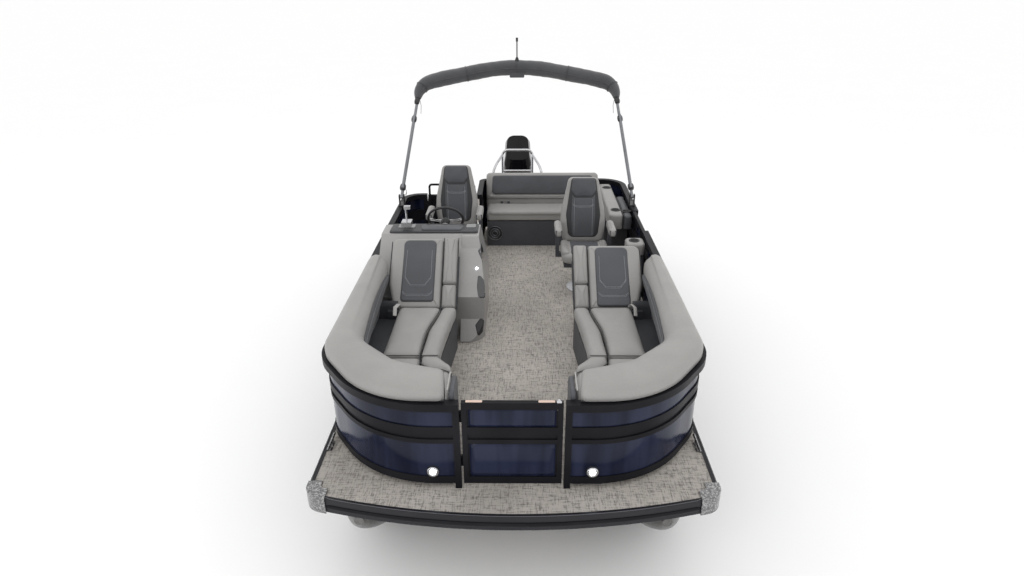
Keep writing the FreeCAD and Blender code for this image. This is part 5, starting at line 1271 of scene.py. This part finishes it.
# ---------------------------------------------------------------- chairs
@dataclass
class Chair:
    """One high-backed swivel chair."""

    who: str
    x: float
    y: float
    half: float = 0.238
    under: float = 0.350
    top: float = 1.085
    lean: float = math.radians(12)

    def back_plane(self) -> Plane:
        """The backrest's front face: right to port, up its slope, out toward the bow."""
        s, c = math.sin(self.lean), math.cos(self.lean)
        return Plane((self.x, self.y + 0.152, self.under + 0.060), (1.0, 0.0, 0.0), (0.0, s, c), (0.0, -c, s))

    def cushion(self, part: str, grid: np.ndarray, finish: Finish, soft: bool = False,
                fill: float = 0.75) -> bpy.types.Object:
        """One padded piece of the chair, swelled if it is soft."""
        made = piece(f"{self.who}_{part}", grid, finish, f"{self.who}_chair")
        if soft:
            swell(made)
        return made

    def seat(self) -> None:
        """The seat: a light ring that rises at its sides round a dark middle."""
        x, y, under = self.x, self.y, self.under
        outline = rectangle((x - self.half, x + self.half), (y - 0.262, y + 0.148),
                            [0.09, 0.09, 0.05, 0.05], 96)
        grid = loaf(outline, under + 0.004, under + 0.108, 0.045, 0.010, pull=0.004)
        made = self.cushion("seat_pad", grid, LIGHT, True)
        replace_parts(made, f"{self.who}_chair_seat")
        middle = rectangle((x - 0.15, x + 0.15), (y - 0.245, y + 0.10), [0.05, 0.05, 0.03, 0.03], 72)
        self.cushion("seat_middle", loaf(middle, under + 0.06, under + 0.121, 0.02, 0.010), DARK)
        for side in Side:
            inner, fore, outer = (x + side.value * reach for reach in (0.158, 0.150, 0.232))
            edge = rounded_path([(fore, y - 0.24), (outer, y - 0.20), (outer, y + 0.12), (inner, y + 0.12)],
                                [0.03, 0.05, 0.03, 0.02], 60, True)
            grid = loaf(edge, under + 0.06, under + 0.130, 0.028, 0.006)
            self.cushion(f"seat_roll_{side.word}", grid, LIGHT)

    def back(self) -> None:
        """The back: a shield-shaped light pad with a dark headrest, centre panel and side stripes."""
        plane = self.back_plane()
        tall = (self.top - self.under - 0.060) / math.cos(self.lean) - 0.006
        outline = rounded_path([(-0.150, tall), (0.150, tall), (0.225, tall * 0.52), (0.236, tall * 0.30),
                                (0.205, 0.01), (-0.205, 0.01), (-0.236, tall * 0.30), (-0.225, tall * 0.52)],
                               [0.05, 0.05, 0.3, 0.2, 0.06, 0.06, 0.2, 0.3], 120, True)
        made = self.cushion("back_pad", plane.place(loaf(outline, -0.116, -0.012, 0.034, 0.008)), LIGHT, True)
        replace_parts(made, f"{self.who}_chair_backrest")
        side = rounded_path([(-0.122, tall - 0.012), (0.122, tall - 0.012), (0.175, tall * 0.45),
                             (0.150, 0.075), (-0.150, 0.075), (-0.175, tall * 0.45)],
                            [0.03, 0.03, 0.2, 0.06, 0.06, 0.2], 110, True)
        grid = plane.place(loaf(side, -0.03, 0.004, 0.012, 0.002))
        self.cushion("back_side_panels", grid, PIPING, fill=0.5)
        head = rounded_path([(-0.113, tall - 0.014), (0.113, tall - 0.014), (0.128, tall * 0.80),
                             (0.085, tall * 0.715), (-0.085, tall * 0.715), (-0.128, tall * 0.80)],
                            [0.03, 0.03, 0.03, 0.02, 0.02, 0.03], 90, True)
        self.cushion("headrest", plane.place(loaf(head, -0.02, 0.014, 0.016, 0.008)), DARK)
        middle = rounded_path([(-0.118, tall * 0.775), (-0.088, tall * 0.700), (0.088, tall * 0.700),
                               (0.118, tall * 0.775), (0.124, tall * 0.4), (0.112, 0.08), (-0.112, 0.08),
                               (-0.124, tall * 0.4)],
                              [0.01, 0.02, 0.02, 0.01, 0.2, 0.03, 0.03, 0.2], 110, True)
        panel = self.cushion("back_middle", plane.place(loaf(middle, -0.02, 0.009, 0.012, 0.008)), DARK)
        rows = [rounded_path([(-0.105, v + 0.02), (-0.07, v), (0.07, v), (0.105, v + 0.02)],
                             [0, 0.02, 0.02, 0], 60) for v in (tall * 0.56, tall * 0.56 + 0.012)]
        rows += [np.linspace((u, 0.10), (u, tall * 0.68), 70) for u in (-0.092, 0.092)]
        piece(f"{self.who}_back_stitches", sewn(rows, plane, panel), THREAD, f"{self.who}_chair")

    def arms(self) -> None:
        """Rounded arm pads over the frame's arms."""
        for side in Side:
            x = self.x + side.value * 0.262
            outline = rectangle((x - 0.036, x + 0.036), (self.y - 0.158, self.y + 0.156), 0.034, 72)
            grid = loaf(outline, self.under + 0.252, self.under + 0.326, 0.026, 0.006, foot=0.024)
            self.cushion(f"arm_pad_{side.word}", grid, LIGHT)

    def make(self) -> None:
        """Builds the chair."""
        self.seat()
        self.back()
        self.arms()


# ---------------------------------------------------------------- stern seating
@dataclass
class Stern:
    """The stern bench, the arm pads along the port side and the cup stand."""

    left: float = -0.350
    right: float = 0.950
    cups: tuple[tuple[float, float, float], ...] = (
        (1.063, 3.925, 0.620), (1.063, 4.760, 0.620), (1.1835, 3.925, 0.605), (1.128, 3.000, 0.620))

    def bench(self) -> None:
        """The seat pad with its front roll on the lid, and the back behind it."""
        x = (self.left - 0.012, self.right - 0.003)
        outline = rectangle(x, (4.438, 4.786), [0.03, 0.03, 0.02, 0.02], 120)
        seat = piece("bench_pad", loaf(outline, 0.312, 0.424, 0.03, 0.006), LIGHT, "bench_lid")
        swell(seat)
        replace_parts(seat, "stern_bench_seat")
        roll("bench_front_roll", (self.left + 0.02, self.right - 0.02), (4.462, 0.405), 0.030, 0.03, 16,
             "bench_lid")
        self.bench_back()

    def bench_back(self) -> None:
        """The bench's back, its body lofted from the base to a rounded top."""
        profile = smooth_loop([(4.812, 0.345), (4.808, 0.45), (4.812, 0.56), (4.826, 0.66), (4.846, 0.730),
                               (4.885, 0.757), (4.94, 0.752), (4.985, 0.722), (4.998, 0.64), (4.998, 0.45),
                               (4.996, 0.330), (4.90, 0.322), (4.83, 0.328)], 60)
        body = padded("bench_back_body", lofted(profile, np.linspace(-0.366, 0.964, 70)), LIGHT, 0.75)
        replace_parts(body, "stern_bench_backrest")
        outline = rectangle((-0.300, 0.905), (0.528, 0.748), 0.035, 96)
        face = Plane((0.0, 4.814, 0.600), (1.0, 0.0, 0.0), (0.0, 0.26, 0.966), (0.0, -0.966, 0.26))
        upper = face.place(loaf(outline - [0.0, 0.600], -0.035, 0.010, 0.016, 0.006))
        padded("bench_back_dark", upper, DARK, 0.7)
        left, right = -0.345, 0.945
        for number, (z, finish) in enumerate(((0.470, PIPING), (0.478, WEDGE)), start=1):
            line = np.linspace((left, 4.802, z), (right, 4.802, z), 60)
            piece(f"bench_back_welt_{number}", swept(line, 0.004, 8), finish)
        roll("bench_back_strip", (left, right), (4.813, 0.500), 0.018, 0.02, 12, "boat", 1.2)

    def speaker(self) -> None:
        """The round speaker in the bench base's front."""
        ring = [(0.088, -0.006), (0.088, 0.006), (0.080, 0.010), (0.072, 0.006), (0.066, -0.002),
                (0.030, -0.004), (0.024, 0.004), (0.010, 0.007), (0.001, 0.0075)]
        piece("bench_speaker", lathe(ring, (-0.258, 4.455, 0.160), (0.0, -1.0, 0.0), 56), BLACK)
        rims = []
        for radius in (0.084, 0.054, 0.028):
            angle = np.linspace(0, 2 * math.pi, 64, endpoint=False)
            circle = np.column_stack([-0.258 + radius * np.cos(angle), np.full(64, 4.447),
                                      0.160 + radius * np.sin(angle)])
            rims.append(swept(circle, 0.0045, 8, closed=True, up=(0.0, 1.0, 0.0)))
        piece("bench_speaker_rings", rims, ANODISED, wrap=(True, True))

    def pad_with_cups(self, name: str, x: Point, y: Point, z: Point, finish: Finish, cups: Sequence[int],
                      corner: float = 0.03) -> bpy.types.Object:
        """An arm pad with its cup holes cut out and lined."""
        made = piece(name, loaf(rectangle(x, y, corner, 100), z[0], z[1] - 0.004, 0.026, 0.004, foot=0.010),
                     finish)
        for number in cups:
            cx, cy, top = self.cups[number]
            bore = piece("bore", lathe([(0.001, -0.078), (0.042, -0.078), (0.042, 0.03), (0.001, 0.03)],
                                       (cx, cy, top), (0, 0, 1), 48), BLACK)
            hole = made.modifiers.new("hole", "BOOLEAN")
            hole.operation, hole.object, hole.solver = "DIFFERENCE", bore, "EXACT"
            apply_modifiers(made)
            bpy.data.objects.remove(bore)
            cup = [(0.001, -0.0745), (0.030, -0.0745), (0.0375, -0.070), (0.0385, 0.002), (0.047, 0.004),
                   (0.051, 0.002), (0.051, -0.004), (0.0425, -0.006), (0.0412, -0.077), (0.001, -0.077)]
            piece(f"cup_liner_{number + 1}", lathe(cup, (cx, cy, top), (0, 0, 1)), BLACK)
        shade_smooth(made.data)
        made.data.set_sharp_from_angle(angle=math.radians(50))
        return made

    def arms(self) -> None:
        """The light inner pad, the dark outer pad with its light edge, and the cup stand."""
        inner = self.pad_with_cups("arm_pad_inner", (0.984, 1.127), (3.765, 4.935), (0.452, 0.620), LIGHT,
                                   (0, 1))
        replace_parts(inner, "stern_arm_pads")
        self.pad_with_cups("arm_pad_outer", (1.142, 1.225), (3.765, 4.476), (0.452, 0.605), DARK, (2,), 0.024)
        stand = self.pad_with_cups("cup_stand_top", (1.048, 1.225), (2.905, 3.095), (0.500, 0.620), LIGHT,
                                   (3,), 0.045)
        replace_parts(stand, "port_cup_stand")
        stem = rectangle((1.105, 1.227), (2.925, 3.075), 0.02, 60)
        piece("cup_stand_stem", loaf(stem, 0.002, 0.505, 0.004, 0.0), BASE)
        line = np.linspace((1.134, 3.78, 0.600), (1.134, 4.46, 0.600), 40)
        piece("arm_pad_welt", swept(line, 0.004, 8), PIPING)

    def make(self) -> None:
        """Builds the stern seating."""
        self.bench()
        self.speaker()
        self.arms()


# ---------------------------------------------------------------- folding top and stern gear
@dataclass
class Top:
    """The folded canopy in its boot, its straps and its fittings."""

    pivot: tuple[float, float, float] = (1.250, 4.030, 0.735)
    raised: float = math.radians(45)
    half_width: float = 1.250
    leg_lean: float = 0.125 / 1.460
    crown: float = 1.742
    boot_radius: float = 0.084

    def place(self, plan: np.ndarray) -> np.ndarray:
        """Points (x, along, off) of the top's own plane in the deck's frame."""
        c, s = math.cos(self.raised), math.sin(self.raised)
        x, along, off = plan[..., 0], plan[..., 1], plan[..., 2]
        y = self.pivot[1] + along * c - off * s
        z = self.pivot[2] + along * s + off * c
        return np.stack([x, y, z], axis=-1)

    def leg(self, along: float) -> float:
        """How far out a leg stands at a distance along it."""
        return self.half_width - self.leg_lean * along

    def hoop(self, count: int) -> np.ndarray:
        """The hoop's line under the boot, from port to starboard."""
        half = [(self.leg(1.262), 1.262, 0), (1.125, 1.460, 0), (0.850, 1.545, 0)]
        points = half + [(0.0, self.crown, 0)] + [(-x, a, o) for x, a, o in reversed(half)]
        return rounded_path(points, [0, 0.24, 0.9, 2.6, 0.9, 0.24, 0], count)

    def boot(self) -> None:
        """The canvas sleeve: an oval section that sags and puckers between its ties.

        Its radius is boot_radius * cuff * (1 + 0.020 sin(44 along) sin(2 angle) + 0.010 sin(145 along + 3
        angle)), with along from 0 to 1. The cuff rises from 0.36 to 1 over the first and last 0.13.
        """
        count, sides = 220, 40
        line = self.hoop(count)
        along = np.linspace(0, 1, count)
        angle = np.linspace(0, 2 * math.pi, sides, endpoint=False)
        base = swept(self.place(line), 1.0, sides, up=(0.0, 0.7, 0.7))
        centre = self.place(line)[:, None]
        reach = np.clip(np.minimum(along, 1 - along) / 0.13, 0, 1)
        cuff = 0.36 + 0.64 * np.sin(reach * math.pi / 2) ** 0.8
        fold = 1 + 0.020 * np.sin(44 * along)[:, None] * np.sin(2 * angle)[None]
        fold += 0.010 * np.sin(145 * along[:, None] + 3 * angle[None])
        grid = centre + (base - centre) * (self.boot_radius * cuff[:, None] * fold)[..., None]
        made = padded("canopy_boot", grid, CANVAS, 0.7, "folding_top")
        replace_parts(made, "top_boot")
        offset = swept(self.place(line), 0.085 * cuff, 8, up=(0.0, 0.7, 0.7))
        for number, side in enumerate((1, 5), start=1):
            seam = offset[6:-6, side]
            piece(f"boot_seam_{number}", swept(seam, 0.0035, 6), CANVAS, "folding_top")
        ties = []
        for at in (14, 60, 110, 159, 205):
            ring = centre[at, 0] + (base[at] - centre[at]) * (0.0875 * cuff[at])
            ties.append(swept(ring, 0.004, 8, closed=True, up=tangents(self.place(line))[at]))
        piece("boot_ties", ties, WEBBING, "folding_top", wrap=(True, True))

    def fittings(self) -> None:
        """Knuckles on the legs, short straps to the rail, and the hanging strap ends."""
        for side in (-1, 1):
            word = Side(side).word
            knobs = []
            for at, size in ((0.110, 0.026), (0.98, 0.024), (1.22, 0.024)):
                path = self.place(np.array([(side * self.leg(at + d), at + d, 0.014)
                                            for d in np.linspace(-0.032, 0.032, 10)]))
                bulge = size * (0.82 + 0.18 * np.sin(np.linspace(0, math.pi, 10)))
                knobs.append(swept(path, bulge, 16, flat=1.3, up=(0.0, 0.7, 0.7)))
            piece(f"top_knuckles_{word}", knobs, BLACK, "folding_top")
            loop = rounded_path([(side * 1.226, 4.135, 0.825), (side * 1.205, 4.115, 0.760),
                                 (side * 1.212, 4.070, 0.742)], [0, 0.03, 0], 24)
            tail = self.place(np.array([(side * (self.leg(1.27) - 0.02), 1.27, -0.02)]))[0]
            hang = np.array([tail, tail - [side * 0.012, 0.004, 0.07], tail - [side * 0.004, 0.002, 0.16]])
            for name, line, wide, flat in ((f"top_strap_{word}", loop, 0.012, 0.18),
                                           (f"strap_end_{word}", resampled(hang, 12), 0.009, 0.25)):
                piece(name, swept(line, wide, 10, flat=flat, up=(1.0, 0.0, 0.0)), WEBBING, "folding_top")
        crown = self.place(np.array([(0.0, self.crown * 0.965, 0.0)]))[0]
        outline = rectangle((-0.085, 0.085), (-0.02, 0.05), 0.012, 60)
        tab = Plane(crown + [0.0, -0.078, -0.075], (1.0, 0.0, 0.0), (0.0, 0.5, 0.866), (0.0, -0.866, 0.5))
        piece("boot_tab", tab.place(loaf(outline, -0.004, 0.006, 0.003, 0.001)), CANVAS, "folding_top")

    def make(self) -> None:
        """Builds the folded top's looks."""
        self.boot()
        self.fittings()


@dataclass
class Motor:
    """Fine parts of the tilted outboard: the cowl's split line and its rear vents."""

    tilt: float = math.radians(36)
    pivot: tuple[float, float, float] = (0.0, 6.300, -0.022)

    def plane(self) -> Plane:
        """The motor's own frame, tilted aft end up about the clamp's tube."""
        c, s = math.cos(self.tilt), math.sin(self.tilt)
        return Plane(self.pivot, (1.0, 0.0, 0.0), (0.0, c, s), (0.0, -s, c))

    def split_line(self) -> None:
        """A band round the cowl, following its plan of rounded corners a little inside it."""
        plane, inset = self.plane(), 0.985
        half, front, back = 0.2025 * inset, -0.002, 0.630 * inset
        outline = rounded_path([(-half, front), (half, front), (half * 0.86, back), (-half * 0.86, back)],
                               [0.125] * 4, 120, True)
        band = swept(plane.place(at_height(outline, 0.165)), 0.005, 8, closed=True, up=plane.out)
        piece("cowl_split_line", band, RUBBER, "motor_drive", wrap=(True, True))

    def make(self) -> None:
        """Builds the motor's details."""
        self.split_line()
        plane = self.plane()
        slats = []
        for k in range(5):
            y, z = 0.622 - 0.0022 * k * k, 0.520 + 0.022 * k
            line = np.linspace((-0.085, y, z), (0.085, y, z), 20)
            slats.append(swept(plane.place(line), 0.005, 8, flat=0.6, up=plane.out))
        piece("cowl_rear_vents", slats, RUBBER, "motor_drive")


# ---------------------------------------------------------------- stage
class Stage:
    """The plain floor, the lights and the camera."""

    SENSOR = 36.0
    LENS = 24.00099609375
    FLOOR_REACH = 160.0
    RIGHT = (0.99989795, 0.01308730, -0.00572742)
    UP = (-0.00030128, 0.42014951, 0.90745485)
    AHEAD = (-0.01428250, 0.90736052, -0.42011057)
    EYE = (0.05627, -3.11082, 2.94817)

    def camera(self) -> None:
        """A wide view from ahead, looking down on the bow."""
        data = bpy.data.cameras.new("view")
        data.sensor_width = self.SENSOR
        data.lens = self.LENS
        data.clip_end = 400.0
        made = bpy.data.objects.new("view", data)
        bpy.context.scene.collection.objects.link(made)
        turn = Matrix((self.RIGHT, self.UP, tuple(-a for a in self.AHEAD))).transposed().to_4x4()
        made.matrix_world = Matrix.Translation(Vector(np.array(self.EYE) + DECK)) @ turn
        bpy.context.scene.camera = made

    def floor(self) -> None:
        """A wide pale floor under the tubes."""
        level = CAD_BOX[0].z - 0.001
        mesh = bpy.data.meshes.new("floor")
        r = self.FLOOR_REACH
        mesh.from_pydata([(-r, -r, level), (r, -r, level), (r, r, level), (-r, r, level)], [], [(0, 1, 2, 3)])
        made = bpy.data.objects.new("floor", mesh)
        bpy.context.scene.collection.objects.link(made)
        g = Graph("pale_floor")
        tone = g.mix(g.noise(0.6, 3.0), (0.985, 0.985, 0.985), (0.965, 0.965, 0.965))
        g.feed(Base_Color=tone, Roughness=0.9, Specular_IOR_Level=0.1)
        mesh.materials.append(g.material)

    def lamp(self, name: str, at: Point, toward: Point, size: tuple[float, float], power: float) -> None:
        """One soft rectangular light."""
        data = bpy.data.lights.new(name, "AREA")
        data.shape, data.size, data.size_y, data.energy = "RECTANGLE", size[0], size[1], power
        made = bpy.data.objects.new(name, data)
        bpy.context.scene.collection.objects.link(made)
        made.location = Vector(at)
        made.rotation_mode = "QUATERNION"
        made.rotation_quaternion = (Vector(toward) - Vector(at)).to_track_quat("-Z", "Y")

    def make(self) -> None:
        """Sets the stage."""
        self.camera()
        self.floor()
        world = bpy.data.worlds.new("studio")
        world.use_nodes = True
        sky = world.node_tree.nodes["Background"].inputs
        sky["Color"].default_value = (1.0, 1.0, 1.0, 1.0)
        sky["Strength"].default_value = 1.02
        bpy.context.scene.world = world
        self.lamp("overhead", (0.0, 0.0, 7.5), (0.0, 0.0, 0.0), (7.0, 10.0), 60.0)
        self.lamp("bow_key", (-4.0, -9.0, 6.0), (0.0, -1.5, 0.8), (4.0, 2.5), 60.0)
        self.lamp("bow_tube", (3.5, -9.0, 2.2), (0.0, -2.5, 0.6), (0.35, 3.5), 22.0)
        self.lamp("bow_tube_2", (-5.0, -8.0, 2.2), (-0.5, -2.5, 0.6), (0.35, 3.5), 18.0)
        bpy.context.scene.view_settings.view_transform = "Standard"


def dress_nodes() -> None:
    """Gives every CAD node that stays in view its finish."""
    for node, finish in NODE_FINISHES.items():
        dress(node, finish)


def write_sizes() -> None:
    """Updates the view layer."""
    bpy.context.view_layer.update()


def main() -> None:
    """Builds the boat's looks in order."""
    logging.basicConfig(level=logging.WARNING)
    Stage().make()
    dress_nodes()
    Deck().make()
    Lounge(Side.STARBOARD, 0.800, start=0.042, rise=0.040).make()
    Lounge(Side.PORT, 0.760).make()
    Helm().make()
    Chair("captain", -0.650, 3.770).make()
    Chair("passenger", 0.680, 3.285).make()
    Stern().make()
    Top().make()
    Motor().make()
    write_sizes()


if __name__ == "__main__":
    main()
